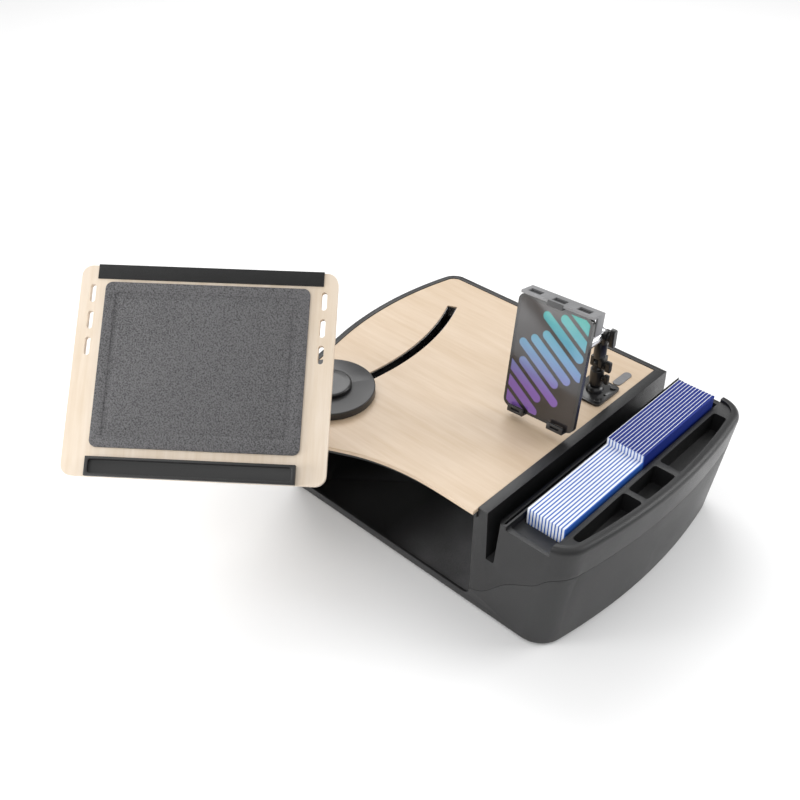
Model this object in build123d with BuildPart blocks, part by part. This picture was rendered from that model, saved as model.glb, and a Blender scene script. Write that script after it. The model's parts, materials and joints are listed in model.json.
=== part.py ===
from build123d import *
import os
from math import cos, degrees, radians, sin, tan

os.makedirs("parts", exist_ok=True)

# Vehicle seat desk with a pivoting writing tray and a tablet holder.
# Millimetres. The origin is the centre of the underside, +X points to the file bay,
# +Y to the rear and +Z up.

# ---------------------------------------------------------------- body
body_depth = 458
left_reach_top = 317       # from the origin to the left side, at the rim
left_reach_foot = 305
right_reach_top = 322
right_reach_foot = 299
left_apex_y = 66
right_apex_y = 20
left_bow = 23.17           # how far the side draws in from its apex to the rear
right_bow = 31.9           # and to the front
left_flare = 13.3          # degrees, straight run of the left side towards the front
rear_left_corner = 29
rear_right_corner = 46
front_right_corner = 44
front_left_corner = 20
wall = 4
floor_round = 6
console_round = 9
desk_top = 200
rim_rise = 1               # rim above the desktop
rim_width = 10
console_rise = 6           # console above the desktop
recess_depth = 4.5         # console face below its rim
recess_inset = 14
shoulder_drop = 4          # wall between channel and file bay, below the desktop
front_wall_drop = 10
bay_ledge_drop = 18
seam_drop = 50             # joint of the two mouldings on the side walls, below the desktop
web_foot = 36              # foot of the curved joint on the front wall
web_end = 300
groove_width = 0.8         # shadow line under the joint
groove_depth = 1.5
web_curve = [(0, 0), (0.16, 0.11), (0.37, 0.45), (0.7, 0.8), (1, 1)]  # shares of its run and rise
foot_height = 2.5
foot_radius = 13
foot_stud_radius = 3
foot_inset = 49            # feet from the front and rear faces

# ---------------------------------------------------------------- clearances and screws
fit_gap = 0.3
running = 0.05             # pin in a bore that turns on it
screw_radius = 2.4
screw_gap = 0.1
small_head = (4.2, 2.2)    # radius and height
large_head = (4.6, 2.6)

# ---------------------------------------------------------------- desktop and storage
deck_thickness = 10.5
desktop_thickness = 5.5
desktop_round = 1.2
desk_right = 142
desk_overhang = 11         # desktop in front of the body
lobe_overhang = 78
lobe_x = -192
deck_setback = 8
seat_width = 7
lip_top = 20
opening_round = 13
ledge_width = 30
ledge_screw_inset = 20
storage_left = -234
badge_place = (118, 161)
badge_size = (42, 14, 2)

# ---------------------------------------------------------------- channel, bay and pockets
channel_left = 158.5
channel_right = 181.5
channel_foot_left = 161
channel_foot_right = 175
channel_depth = 86.5
channel_round = 4
bay_wall_right = 190.5
bay_left = 192.5
bay_right = 262.5
bay_front_inset = 38
bay_rear_inset = 27.5
bay_end_wall = 9
bay_round = 5
bay_screw_y = 150
bay_screw_inset = 16
pocket_left = 270
pocket_depth = 36
pocket_inset = 17
pocket_corner = 5
pocket_front_gap = 1       # first pocket behind the front of the bay
pocket_rear_inset = 46
pocket_bars = [(-66, -56), (14, 26)]
jacket = 3                 # wall of the channel, bay and pockets

# ---------------------------------------------------------------- slot and track
slot_centre = (-611, -56)
slot_radius = 434
slot_width = 18
slot_start = -20.6         # degrees
slot_end = 26.8
slot_round = 2
liner = 1.5
track_gap = 0.15
track_half = 30
track_thickness = 4
track_screw_side = 24
track_screw_turns = (-19, -4, 11, 25)
shoe_width = 34
shoe_thickness = 9
shoe_span = 2.4            # degrees, half of the shoe's length
boss_span = 1.3

# ---------------------------------------------------------------- disc and arm
rest_angle = -17.6
disc_radius = 73
disc_thickness = 12.1
disc_round = 1.5
disc_skirt = 0.4           # skirt of the disc above the rim
glide_radius = 52
glide_thickness = 2.4
bolt_radius = 4
bolt_head = (7.5, 5.5)     # radius and height
bolt_rise = 5
knob_radius = 36
knob_height = 8
knob_side = 4
arm_width = 44
arm_thickness = 8
arm_reach = 193.6
arm_azimuth = -107.8
arm_screw_along = (48, 64)
arm_screw_side = 12
arm_screw_depth = 5
post_radius = 14
post_flange = (20, 4)      # radius and height

# ---------------------------------------------------------------- tilt joint
hinge_rise = 96.1          # hinge axis above the desktop
hinge_drop = 30            # hinge axis below the tray's top face
yoke_drop = 24             # yoke's foot below the hinge axis
yoke_width = 26
yoke_base = 8
ear_thickness = 7
knuckle_half = 20
knuckle_radius = 10
tray_pin_radius = 5
grip_radius = 15
grip_length = 16

# ---------------------------------------------------------------- tray
tray_width = 373
tray_height = 307
tray_thickness = 9
tray_corner = 16
tray_round = 1.2
tray_azimuth = 39.6
tray_tilt = 41.3
slot_rows = [0.865, 0.735, 0.608]   # shares of the tray's height
slot_column = 0.45                  # share of its width from the middle
slot_size = (27, 8)
pad_left, pad_right = -0.4, 0.396   # shares of the tray's width from the middle
pad_low, pad_high = -0.365, 0.42    # shares of its height
pad_thickness = 3
pad_corner = 10
pad_border = 22
pad_press = 0.8
strap_left, strap_right = -0.435, 0.445
strap_low = 0.435
strap_wrap = 1.8
ledge_left, ledge_right = -0.403, 0.388
ledge_high = -0.41
ledge_rise = 9
ledge_floor = 3
bracket_size = (120, 84, 3)
bracket_screws = (48, 30)

# ---------------------------------------------------------------- tablet holder
holder_x = 104
holder_y = 103
holder_plate = (57, 64)
holder_plate_thickness = 4
holder_screw_x = 20
holder_screw_y = 23
holder_screw_radius = 3
mid_rise = 56              # joints above the desktop
head_rise = 109
reach_end_y = 26
post_height = 28
shaft_radius = 5
barrel_radius = 11
tongue_half = 4
tongue_radius = 9
cross_pin_radius = 3
fork_half = 10
pan_shaft_radius = 2.5
rod_radius = 2.5
rod_spread = 24
rod_length = 112
tablet_size = (127.6, 185)
tablet_thickness = 7.5
tablet_corner = 12
tablet_border = 4.5
tablet_place = (88.5, -19.2)
tablet_rise = 108.6
tablet_x_dir = (0.9989, 0.0141, 0.0447)
tablet_face_dir = (0.0063, -0.986, 0.1695)
plate_thickness = 3
hook_spread = 36
hook_width = 28
jaw_depth = 26
jaw_width = 104

# ---------------------------------------------------------------- files
file_count = 12
file_pitch = 5.27
file_gap = 2.5             # around the row of files
file_low_rise = 0.7        # tops above the console
file_high_rise = 12.4
file_step_y = 1
file_lift = 4              # above the housing's floor
cover_thickness = 2.5
file_corner = 10           # round of the front top corner
paper_drop = 0.4           # sheet's edge inside its cover

# ---------------------------------------------------------------- worked out from these
half_depth = body_depth / 2
left_run = half_depth - left_apex_y
right_run = half_depth + right_apex_y
left_radius = (left_run ** 2 + left_bow ** 2) / (2 * left_bow)
right_radius = (right_run ** 2 + right_bow ** 2) / (2 * right_bow)
deck_top = desk_top - desktop_thickness
deck_bottom = deck_top - deck_thickness
rim_top = desk_top + rim_rise
console_top = desk_top + console_rise
recess_floor = console_top - recess_depth
shoulder = desk_top - shoulder_drop
front_wall_top = desk_top - front_wall_drop
bay_ledge = desk_top - bay_ledge_drop
seam_side = desk_top - seam_drop
channel_floor = rim_top - channel_depth
storage_right = desk_right - seat_width
desk_front = -half_depth - desk_overhang
lobe_front = -half_depth - lobe_overhang
bay_front = bay_front_inset - half_depth
bay_rear = half_depth - bay_rear_inset
foot_row = half_depth - foot_inset
hinge_height = desk_top + hinge_rise
mid_height = desk_top + mid_rise
head_height = desk_top + head_rise
tub_floor_top = foot_height + wall
above_all = console_top + 10       # clear of every top face
beyond = 1000                      # wider than the whole object

pocket_edges = [bay_front + pocket_front_gap]
pocket_edges += [edge for bar in pocket_bars for edge in bar]
pocket_edges += [half_depth - pocket_rear_inset]
pocket_rows = list(zip(pocket_edges[::2], pocket_edges[1::2]))


# ================================================================ places
def on_slot(angle, radius=slot_radius):
    """Point on the slot's centre line, or beside it, at an angle."""
    turn = radians(angle)
    return (slot_centre[0] + radius * cos(turn), slot_centre[1] + radius * sin(turn))


def beside_arm(along, side):
    """Point at a distance along the arm from the disc's centre, and beside it."""
    turn = radians(arm_azimuth)
    return (
        disc_place[0] + along * cos(turn) - side * sin(turn),
        disc_place[1] + along * sin(turn) + side * cos(turn),
    )


def left_side(y, left=left_reach_top, inset=0.0):
    """X of the curved left side, or of a line inside it, at a place along Y."""
    return left_radius - left - ((left_radius - inset) ** 2 - (y - left_apex_y) ** 2) ** 0.5


disc_place = on_slot(rest_angle)
hinge_place = beside_arm(arm_reach, 0)
arm_screw_places = [
    beside_arm(along, side) for along in arm_screw_along for side in (-arm_screw_side, arm_screw_side)
]
track_screw_places = [
    on_slot(turn, slot_radius + side)
    for side in (-track_screw_side, track_screw_side)
    for turn in track_screw_turns
]
holder_screw_places = [
    (holder_x + dx, holder_y + dy)
    for dx in (-holder_screw_x, holder_screw_x)
    for dy in (-holder_screw_y, holder_screw_y)
]
bay_screw_places = [
    (x, y)
    for x in (bay_left + bay_screw_inset, bay_right - bay_screw_inset)
    for y in (-bay_screw_y, bay_screw_y)
]
deck_screw_places = [(left_side(y) + ledge_screw_inset, y) for y in (20, 150)]
deck_screw_places += [(x, half_depth - ledge_screw_inset) for x in (-150, 40)]
foot_places = [(0, 0), (-215, -foot_row), (-240, foot_row), (245, foot_row), (245, -foot_row)]


# ================================================================ plan outlines
def nearest_vertex(sketch, point):
    """The sketch's vertex closest to a point."""
    return sketch.vertices().sort_by_distance(point)[0]


def flare_start(left=left_reach_top):
    """Point where the left arc ends and its straight front run begins."""
    turn = radians(left_flare)
    return (left_radius - left - left_radius * cos(turn), left_apex_y - left_radius * sin(turn))


def front_left_point(y, left=left_reach_top):
    """Point on the straight front run of the left side at a place along Y."""
    bend = flare_start(left)
    return (bend[0] + (bend[1] - y) * tan(radians(left_flare)), y)


def right_side(y, right=right_reach_top):
    """X of the curved right side at a place along Y."""
    return right - right_radius + (right_radius ** 2 - (y - right_apex_y) ** 2) ** 0.5


def body_outline(height, left, right, inset=0.0):
    """Outline of the body at one height; inset draws it in by a wall."""
    bend = flare_start(left)
    front_left = front_left_point(-half_depth, left)
    rear_left = (left_side(half_depth, left), half_depth)
    rear_right = (right_side(half_depth, right), half_depth)
    front_right = (right_side(-half_depth, right), -half_depth)
    corners = [
        (front_left, front_left_corner),
        (rear_left, rear_left_corner),
        (rear_right, rear_right_corner),
        (front_right, front_right_corner),
    ]
    with BuildSketch(Plane.XY.offset(height)) as outline:
        with BuildLine():
            Line(front_left, bend)
            ThreePointArc(bend, (-left, left_apex_y), rear_left)
            Line(rear_left, rear_right)
            ThreePointArc(rear_right, (right, right_apex_y), front_right)
            Line(front_right, front_left)
        make_face()
        for corner, radius in corners:
            fillet(nearest_vertex(outline, (*corner, height)), radius)
        if inset:
            offset(amount=-inset, mode=Mode.REPLACE)
    return outline.sketch


def desk_outline(height, setback=0.0, grow=0.0):
    """Outline of the desktop, with its lobe under the turning disc."""
    edge = rim_width + fit_gap
    turn = radians(left_flare)
    bend = Vector(*flare_start()) + edge * Vector(cos(turn), sin(turn))
    left_front = Vector(*front_left_point(desk_front - 3)) + Vector(edge / cos(turn), 0)
    rear_y = half_depth - edge
    rear_left = (left_side(rear_y, inset=edge), rear_y)
    right_x = desk_right - fit_gap
    front_y = desk_front + setback
    with BuildSketch(Plane.XY.offset(height)) as outline:
        with BuildLine():
            Line((right_x, rear_y), (right_x, front_y))
            Spline(
                (right_x, front_y),
                (40, front_y - 0.5),
                (-57, front_y - 21),
                (lobe_x + 50, lobe_front + setback + 8),
                (lobe_x, lobe_front + setback),
                left_front,
                tangents=[(-1, 0), (-sin(turn), cos(turn))],
            )
            Line(left_front, bend)
            ThreePointArc(bend, (edge - left_reach_top, left_apex_y), rear_left)
            Line(rear_left, (right_x, rear_y))
        make_face()
        fillet(nearest_vertex(outline, (*rear_left, height)), rear_left_corner - edge)
        if grow:
            offset(amount=grow, mode=Mode.REPLACE)
    return outline.sketch


def arc_band(height, width, start, end, corner):
    """Curved strip along the slot's centre line between two angles."""
    inner, outer = slot_radius - width / 2, slot_radius + width / 2
    with BuildSketch(Plane.XY.offset(height)) as band:
        with BuildLine():
            near = CenterArc(slot_centre, inner, start, end - start)
            far = CenterArc(slot_centre, outer, start, end - start)
            Line(near @ 0, far @ 0)
            Line(near @ 1, far @ 1)
        make_face()
        fillet(band.vertices(), corner)
    return band.sketch


def channel_profile(top, grow=0.0):
    """Section of the belt channel up to a height on the XZ plane, grown by a wall."""
    rise = (top - channel_floor) / channel_depth
    left = channel_foot_left + rise * (channel_left - channel_foot_left)
    right = channel_foot_right + rise * (channel_right - channel_foot_right)
    with BuildSketch(Plane.XZ) as section:
        with BuildLine():
            Polyline(
                (left - grow, top),
                (channel_foot_left - grow, channel_floor - grow),
                (channel_foot_right + grow, channel_floor - grow),
                (right + grow, top),
                close=True,
            )
        make_face()
        fillet(section.vertices().sort_by(Axis.Z)[:2], channel_round)
    return section.sketch


def pocket_outline(height, front, rear, grow=0.0):
    """One console pocket, whose outer side follows the body's right side."""
    with BuildSketch(Plane.XY.offset(height)) as pocket:
        with Locations((pocket_left + 50, (front + rear) / 2)):
            Rectangle(100, rear - front)
        with Locations((right_reach_top - right_radius, right_apex_y)):
            Circle(right_radius - pocket_inset, mode=Mode.INTERSECT)
        fillet(pocket.vertices(), pocket_corner)
        if grow:
            offset(amount=grow, mode=Mode.REPLACE)
    return pocket.sketch


# ================================================================ body mouldings
with BuildPart() as body_block:
    loft(
        [
            body_outline(foot_height, left_reach_foot, right_reach_foot).face(),
            body_outline(console_top, left_reach_top, right_reach_top).face(),
        ],
        ruled=True,
    )
    fillet(body_block.edges().group_by(Axis.Z)[-1], console_round)
    fillet(body_block.edges().group_by(Axis.Z)[0], floor_round)

with BuildPart() as body_core:
    loft(
        [
            body_outline(foot_height + wall, left_reach_foot, right_reach_foot, wall).face(),
            body_outline(console_top, left_reach_top, right_reach_top, wall).face(),
        ],
        ruled=True,
    )

# Everything above the joint between the two mouldings.
web_points = [
    (storage_right + along * (web_end - storage_right), web_foot + up * (seam_side - web_foot))
    for along, up in web_curve
]
with BuildPart() as above_joint:
    with BuildSketch(Plane.XZ):
        with BuildLine():
            Polyline(
                (beyond, seam_side),
                (beyond, above_all),
                (-beyond, above_all),
                (-beyond, deck_bottom),
                (storage_right, deck_bottom),
                (storage_right, web_foot),
            )
            Spline(*web_points, tangents=[(1, 0.2), (1, 0)])
            Line((web_end, seam_side), (beyond, seam_side))
        make_face()
    extrude(amount=body_depth, both=True)

# Thin shadow line in the outer skin, just under that joint.
with BuildPart() as joint_groove:
    add(body_block.part)
    loft(
        [
            body_outline(0, left_reach_foot, right_reach_foot, groove_depth).face(),
            body_outline(above_all, left_reach_top, right_reach_top, groove_depth).face(),
        ],
        ruled=True,
        mode=Mode.SUBTRACT,
    )
    add(above_joint.part.moved(Location((0, 0, -groove_width))), mode=Mode.INTERSECT)
    add(above_joint.part, mode=Mode.SUBTRACT)

with BuildPart() as deck_ledge:
    add(body_core.part)
    with BuildSketch(Plane.XY.offset(deck_bottom - wall)):
        with Locations((storage_right - beyond / 2, 0)):
            Rectangle(beyond, body_depth)
    extrude(amount=wall, mode=Mode.INTERSECT)
    extrude(
        body_outline(deck_bottom - wall, left_reach_top, right_reach_top, ledge_width),
        amount=wall,
        mode=Mode.SUBTRACT,
    )
    with BuildSketch(Plane.XY.offset(deck_bottom - wall)):
        with Locations((0, -half_depth)):
            Rectangle(beyond, 4 * front_left_corner)
    extrude(amount=wall, mode=Mode.SUBTRACT)

with BuildPart() as lower_tub:
    add(body_block.part)
    add(body_core.part, mode=Mode.SUBTRACT)
    add(above_joint.part, mode=Mode.SUBTRACT)
    add(joint_groove.part, mode=Mode.SUBTRACT)
    add(deck_ledge.part)
    with BuildSketch(Plane.XY.offset(deck_bottom - wall)):
        with Locations(*deck_screw_places):
            Circle(screw_radius + screw_gap)
    extrude(amount=wall, mode=Mode.SUBTRACT)
    with BuildSketch(Plane.XZ.offset(half_depth - 2 * wall)):
        with Locations(((storage_left + storage_right) / 2, (lip_top + console_top) / 2)):
            RectangleRounded(storage_right - storage_left, console_top - lip_top, opening_round)
    extrude(amount=5 * wall, mode=Mode.SUBTRACT)
    with BuildSketch(Plane.XY.offset(tub_floor_top)):
        with Locations((storage_right + wall / 2, 0)):
            Rectangle(wall, body_depth - 2 * wall)
    extrude(amount=web_foot - tub_floor_top)
    with BuildSketch(Plane.XY.offset(foot_height)):
        with Locations(*bay_screw_places):
            Circle(screw_radius + screw_gap)
        with Locations(*foot_places):
            Circle(foot_stud_radius + screw_gap)
    extrude(amount=wall, mode=Mode.SUBTRACT)
lower_tub.part.label = "lower_tub"
export_step(lower_tub.part, "parts/lower_tub.step")

with BuildPart() as housing_core:
    add(body_core.part)
    with BuildSketch(Plane.XZ):
        with BuildLine():
            Polyline(
                (storage_right + wall, 0),
                (storage_right + wall, deck_bottom - wall),
                (desk_right + wall, deck_bottom - wall),
                (desk_right + wall, rim_top - wall),
                (bay_right, rim_top - wall),
                (bay_right, recess_floor - wall),
                (beyond, recess_floor - wall),
                (beyond, 0),
                close=True,
            )
        make_face()
    extrude(amount=body_depth, both=True, mode=Mode.INTERSECT)

with BuildPart() as housing_pits:
    extrude(channel_profile(above_all), amount=body_depth, both=True)
    with BuildSketch(Plane.XY.offset(bay_ledge)):
        with Locations(((bay_wall_right + bay_right) / 2, 0)):
            RectangleRounded(bay_right - bay_wall_right, body_depth - 2 * bay_end_wall, bay_round)
    extrude(amount=above_all - bay_ledge)
    with BuildSketch(Plane.XY.offset(tub_floor_top + wall)):
        with Locations(((bay_left + bay_right) / 2, (bay_front + bay_rear) / 2)):
            RectangleRounded(bay_right - bay_left, bay_rear - bay_front, bay_round)
    extrude(amount=console_top)
    for front, rear in pocket_rows:
        extrude(pocket_outline(console_top - pocket_depth, front, rear), amount=2 * pocket_depth)

with BuildPart() as console_recess:
    recess_outline = body_outline(recess_floor, right_reach_top, right_reach_top, recess_inset)
    extrude(recess_outline, amount=above_all - recess_floor)
    with BuildSketch(Plane.XY.offset(recess_floor)):
        with Locations((bay_right + beyond / 2, 0)):
            Rectangle(beyond, body_depth)
    extrude(amount=above_all - recess_floor, mode=Mode.INTERSECT)

# What the lower top faces of the rim, spine, shoulder and bay end walls leave free.
with BuildPart() as top_steps:
    with BuildSketch(Plane.XZ):
        with BuildLine():
            Polyline(
                (-beyond, above_all),
                (-beyond, rim_top),
                (channel_right, rim_top),
                (channel_right, shoulder),
                (bay_wall_right, shoulder),
                (bay_wall_right, front_wall_top),
                (bay_right, front_wall_top),
                (bay_right, above_all),
                close=True,
            )
        make_face()
    extrude(amount=body_depth, both=True)

with BuildPart() as housing_jackets:
    extrude(channel_profile(rim_top, jacket), amount=body_depth, both=True)
    with BuildSketch(Plane.XY.offset(bay_ledge - jacket)):
        with Locations(((bay_wall_right + bay_right) / 2, 0)):
            Rectangle(bay_right - bay_wall_right + 2 * jacket, body_depth)
    extrude(amount=rim_top - bay_ledge)
    with BuildSketch(Plane.XY.offset(tub_floor_top)):
        with Locations(((bay_left + bay_right) / 2, (bay_front + bay_rear) / 2)):
            RectangleRounded(
                bay_right - bay_left + 2 * jacket, bay_rear - bay_front + 2 * jacket, bay_round + jacket
            )
    extrude(amount=bay_ledge - tub_floor_top)
    for front, rear in pocket_rows:
        extrude(
            pocket_outline(console_top - pocket_depth - jacket, front, rear, jacket),
            amount=pocket_depth,
        )
    add(body_block.part, mode=Mode.INTERSECT)
    add(top_steps.part, mode=Mode.SUBTRACT)

with BuildPart() as upper_housing:
    add(body_block.part)
    add(above_joint.part, mode=Mode.INTERSECT)
    add(top_steps.part, mode=Mode.SUBTRACT)
    add(housing_core.part, mode=Mode.SUBTRACT)
    add(housing_jackets.part)
    add(housing_pits.part, mode=Mode.SUBTRACT)
    add(console_recess.part, mode=Mode.SUBTRACT)
    extrude(desk_outline(deck_bottom, 0, fit_gap), amount=above_all - deck_bottom, mode=Mode.SUBTRACT)
    with BuildSketch(Plane.XY.offset(tub_floor_top)):
        with Locations(*bay_screw_places):
            Circle(screw_radius + screw_gap)
    extrude(amount=wall, mode=Mode.SUBTRACT)
upper_housing.part.label = "upper_housing"
export_step(upper_housing.part, "parts/upper_housing.step")


# ================================================================ desktop, deck and track
deck_screw_depth = 7
screw_length = 10
with BuildPart() as support_deck:
    extrude(desk_outline(deck_bottom, deck_setback), amount=deck_thickness)
    slot_cut = arc_band(deck_bottom, slot_width, slot_start, slot_end, slot_round)
    extrude(slot_cut, amount=deck_thickness, mode=Mode.SUBTRACT)
    with BuildSketch(Plane.XY.offset(deck_bottom)):
        with Locations(*deck_screw_places, *track_screw_places):
            Circle(screw_radius + screw_gap)
    extrude(amount=deck_screw_depth, mode=Mode.SUBTRACT)
    with BuildSketch(Plane.XY.offset(deck_bottom)):
        with Locations(*holder_screw_places):
            Circle(holder_screw_radius + screw_gap)
    extrude(amount=deck_thickness, mode=Mode.SUBTRACT)
support_deck.part.label = "support_deck"
export_step(support_deck.part, "parts/support_deck.step")

with BuildPart() as desktop_panel:
    extrude(desk_outline(deck_top), amount=desktop_thickness)
    fillet(desktop_panel.edges().group_by(Axis.Z)[-1], desktop_round)
    slot_cut = arc_band(deck_top, slot_width, slot_start, slot_end, slot_round)
    extrude(slot_cut, amount=desktop_thickness, mode=Mode.SUBTRACT)
    with BuildSketch(Plane.XY.offset(deck_top)):
        with Locations(*holder_screw_places):
            Circle(holder_screw_radius + screw_gap)
    extrude(amount=desktop_thickness, mode=Mode.SUBTRACT)
desktop_panel.part.label = "desktop_panel"
export_step(desktop_panel.part, "parts/desktop_panel.step")

# Aluminium track: a flange under the deck and a thin lining inside the slot.
track_bottom = deck_bottom - track_thickness
track_slot = slot_width - 2 * track_gap - 2 * liner
gap_turn = degrees(track_gap / slot_radius)
end_turn = gap_turn + degrees(liner / slot_radius)
with BuildPart() as slot_track:
    extrude(
        arc_band(track_bottom, 2 * track_half, slot_start - 2, slot_end + 2, 8),
        amount=track_thickness,
    )
    extrude(
        arc_band(
            track_bottom,
            slot_width - 2 * track_gap,
            slot_start + gap_turn,
            slot_end - gap_turn,
            slot_round - track_gap,
        ),
        amount=desk_top - 2 - track_bottom,
    )
    extrude(
        arc_band(track_bottom, track_slot, slot_start + end_turn, slot_end - end_turn, 0.8),
        amount=desk_top - track_bottom,
        mode=Mode.SUBTRACT,
    )
    with BuildSketch(Plane.XY.offset(track_bottom)):
        with Locations(*track_screw_places):
            Circle(screw_radius + screw_gap)
    extrude(amount=track_thickness, mode=Mode.SUBTRACT)
slot_track.part.label = "slot_track"
export_step(slot_track.part, "parts/slot_track.step")


def screw_group(places, head_top, head, length, up):
    """Like screws with their heads against the face at head_top, pointing up or down."""
    head_radius, head_height = head
    turn = 1 if up else -1
    with BuildPart() as screws:
        with BuildSketch(Plane.XY.offset(head_top)):
            with Locations(*places):
                Circle(head_radius)
        extrude(amount=-turn * head_height)
        with BuildSketch(Plane.XY.offset(head_top)):
            with Locations(*places):
                Circle(screw_radius)
        extrude(amount=turn * length)
        with BuildSketch(Plane.XY.offset(head_top - turn * head_height)):
            with Locations(*places):
                RegularPolygon(head_radius * 0.45, 6)
        extrude(amount=turn * head_height * 0.6, mode=Mode.SUBTRACT)
    return screws.part


deck_screws = screw_group(deck_screw_places, deck_bottom - wall, large_head, screw_length, True)
deck_screws.label = "deck_screws"
export_step(deck_screws, "parts/deck_screws.step")

track_screws = screw_group(track_screw_places, track_bottom, small_head, screw_length, True)
track_screws.label = "track_screws"
export_step(track_screws, "parts/track_screws.step")

housing_screws = screw_group(bay_screw_places, tub_floor_top + wall, large_head, wall + 3, False)
housing_screws.label = "housing_screws"
export_step(housing_screws, "parts/housing_screws.step")

with BuildPart() as rubber_feet:
    with BuildSketch():
        with Locations(*foot_places):
            Circle(foot_radius)
    extrude(amount=foot_height)
    chamfer(rubber_feet.edges().group_by(Axis.Z)[0], 0.6)
    with BuildSketch(Plane.XY.offset(foot_height)):
        with Locations(*foot_places):
            Circle(foot_stud_radius)
    extrude(amount=wall)
rubber_feet.part.label = "rubber_feet"
export_step(rubber_feet.part, "parts/rubber_feet.step")

with BuildPart() as badge_plate:
    with BuildSketch(Plane.XY.offset(desk_top)):
        with Locations(badge_place):
            SlotOverall(badge_size[0], badge_size[1], rotation=90)
    extrude(amount=badge_size[2])
    fillet(badge_plate.edges().group_by(Axis.Z)[-1], 0.8)
badge_plate.part.label = "badge_plate"
export_step(badge_plate.part, "parts/badge_plate.step")

# ================================================================ carriage under the slot
disc_bottom = rim_top + disc_skirt
disc_top = disc_bottom + disc_thickness
glide_top = desk_top + fit_gap + glide_thickness
shoe_top = track_bottom - fit_gap
shoe_bottom = shoe_top - shoe_thickness
boss_top = desk_top - 4
with BuildPart() as track_shoe:
    extrude(
        arc_band(shoe_bottom, shoe_width, rest_angle - shoe_span, rest_angle + shoe_span, 6),
        amount=shoe_top - shoe_bottom,
    )
    extrude(
        arc_band(shoe_top, track_slot - 1, rest_angle - boss_span, rest_angle + boss_span, slot_round),
        amount=boss_top - shoe_top,
    )
    with BuildSketch(Plane.XY.offset(shoe_bottom)):
        with Locations(disc_place):
            Circle(bolt_radius + running)
    extrude(amount=boss_top - shoe_bottom, mode=Mode.SUBTRACT)
track_shoe.part.label = "track_shoe"
export_step(track_shoe.part, "parts/track_shoe.step")

bolt_top = disc_top + bolt_rise
with BuildPart() as pivot_bolt:
    with BuildSketch(Plane.XY.offset(shoe_bottom - bolt_head[1])):
        with Locations(disc_place):
            RegularPolygon(bolt_head[0], 6)
    extrude(amount=bolt_head[1])
    with BuildSketch(Plane.XY.offset(shoe_bottom)):
        with Locations(disc_place):
            Circle(bolt_radius)
    extrude(amount=bolt_top - shoe_bottom)
pivot_bolt.part.label = "pivot_bolt"
export_step(pivot_bolt.part, "parts/pivot_bolt.step")

with BuildPart() as glide_washer:
    with BuildSketch(Plane.XY.offset(desk_top + fit_gap)):
        with Locations(disc_place):
            Circle(glide_radius)
            Circle(bolt_radius + running, mode=Mode.SUBTRACT)
    extrude(amount=glide_thickness)
glide_washer.part.label = "glide_washer"
export_step(glide_washer.part, "parts/glide_washer.step")

# ================================================================ turning disc and arm
with BuildPart() as swivel_disc:
    with BuildSketch(Plane.XY.offset(disc_bottom)):
        with Locations(disc_place):
            Circle(disc_radius)
    extrude(amount=disc_thickness)
    fillet(swivel_disc.edges().group_by(Axis.Z)[-1], disc_round)
    with BuildSketch(Plane.XY.offset(disc_bottom)):
        with Locations(disc_place):
            Circle(glide_radius + 1)
    extrude(amount=glide_top + fit_gap - disc_bottom, mode=Mode.SUBTRACT)
    with BuildSketch(Plane.XY.offset(disc_bottom)):
        with Locations(disc_place):
            Circle(bolt_radius + running)
    extrude(amount=disc_thickness, mode=Mode.SUBTRACT)
    with BuildSketch(Plane.XY.offset(disc_top - arm_screw_depth)):
        with Locations(*arm_screw_places):
            Circle(screw_radius + screw_gap)
    extrude(amount=arm_screw_depth, mode=Mode.SUBTRACT)
swivel_disc.part.label = "swivel_disc"
export_step(swivel_disc.part, "parts/swivel_disc.step")

with BuildPart() as swivel_knob:
    with BuildSketch(Plane((*disc_place, disc_top + fit_gap), x_dir=(1, 0, 0), z_dir=(0, -1, 0))):
        with BuildLine():
            Polyline((0, knob_height), (0, 0), (knob_radius, 0), (knob_radius, knob_side))
            Spline(
                (knob_radius, knob_side),
                (knob_radius - 5, knob_height - 0.4),
                (0, knob_height),
                tangents=[(0, 1), (-1, 0)],
            )
        make_face()
    revolve(axis=Axis((*disc_place, 0), (0, 0, 1)))
    with BuildSketch(Plane.XY.offset(disc_top)):
        with Locations(disc_place):
            Circle(bolt_radius + running)
    extrude(amount=bolt_top + 0.4 - disc_top, mode=Mode.SUBTRACT)
swivel_knob.part.label = "swivel_knob"
export_step(swivel_knob.part, "parts/swivel_knob.step")

arm_turn = radians(arm_azimuth)
arm_plane = Plane((*disc_place, disc_top), x_dir=(cos(arm_turn), sin(arm_turn), 0), z_dir=(0, 0, 1))
with BuildPart() as swing_arm:
    with BuildSketch(arm_plane):
        with Locations((arm_reach / 2, 0)):
            SlotCenterToCenter(arm_reach, arm_width)
        Circle(knob_radius + 4, mode=Mode.SUBTRACT)
        with Locations((-beyond / 2, 0)):
            Rectangle(beyond, beyond, mode=Mode.SUBTRACT)
    extrude(amount=arm_thickness)
    fillet(swing_arm.edges().group_by(Axis.Z)[-1], desktop_round)
    with BuildSketch(Plane.XY.offset(disc_top)):
        with Locations(*arm_screw_places):
            Circle(screw_radius + screw_gap)
    extrude(amount=arm_thickness, mode=Mode.SUBTRACT)
swing_arm.part.label = "swing_arm"
export_step(swing_arm.part, "parts/swing_arm.step")

arm_top = disc_top + arm_thickness
arm_screw_length = arm_thickness + arm_screw_depth - 0.5
arm_screws = screw_group(arm_screw_places, arm_top, large_head, arm_screw_length, False)
arm_screws.label = "arm_screws"
export_step(arm_screws, "parts/arm_screws.step")

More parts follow.
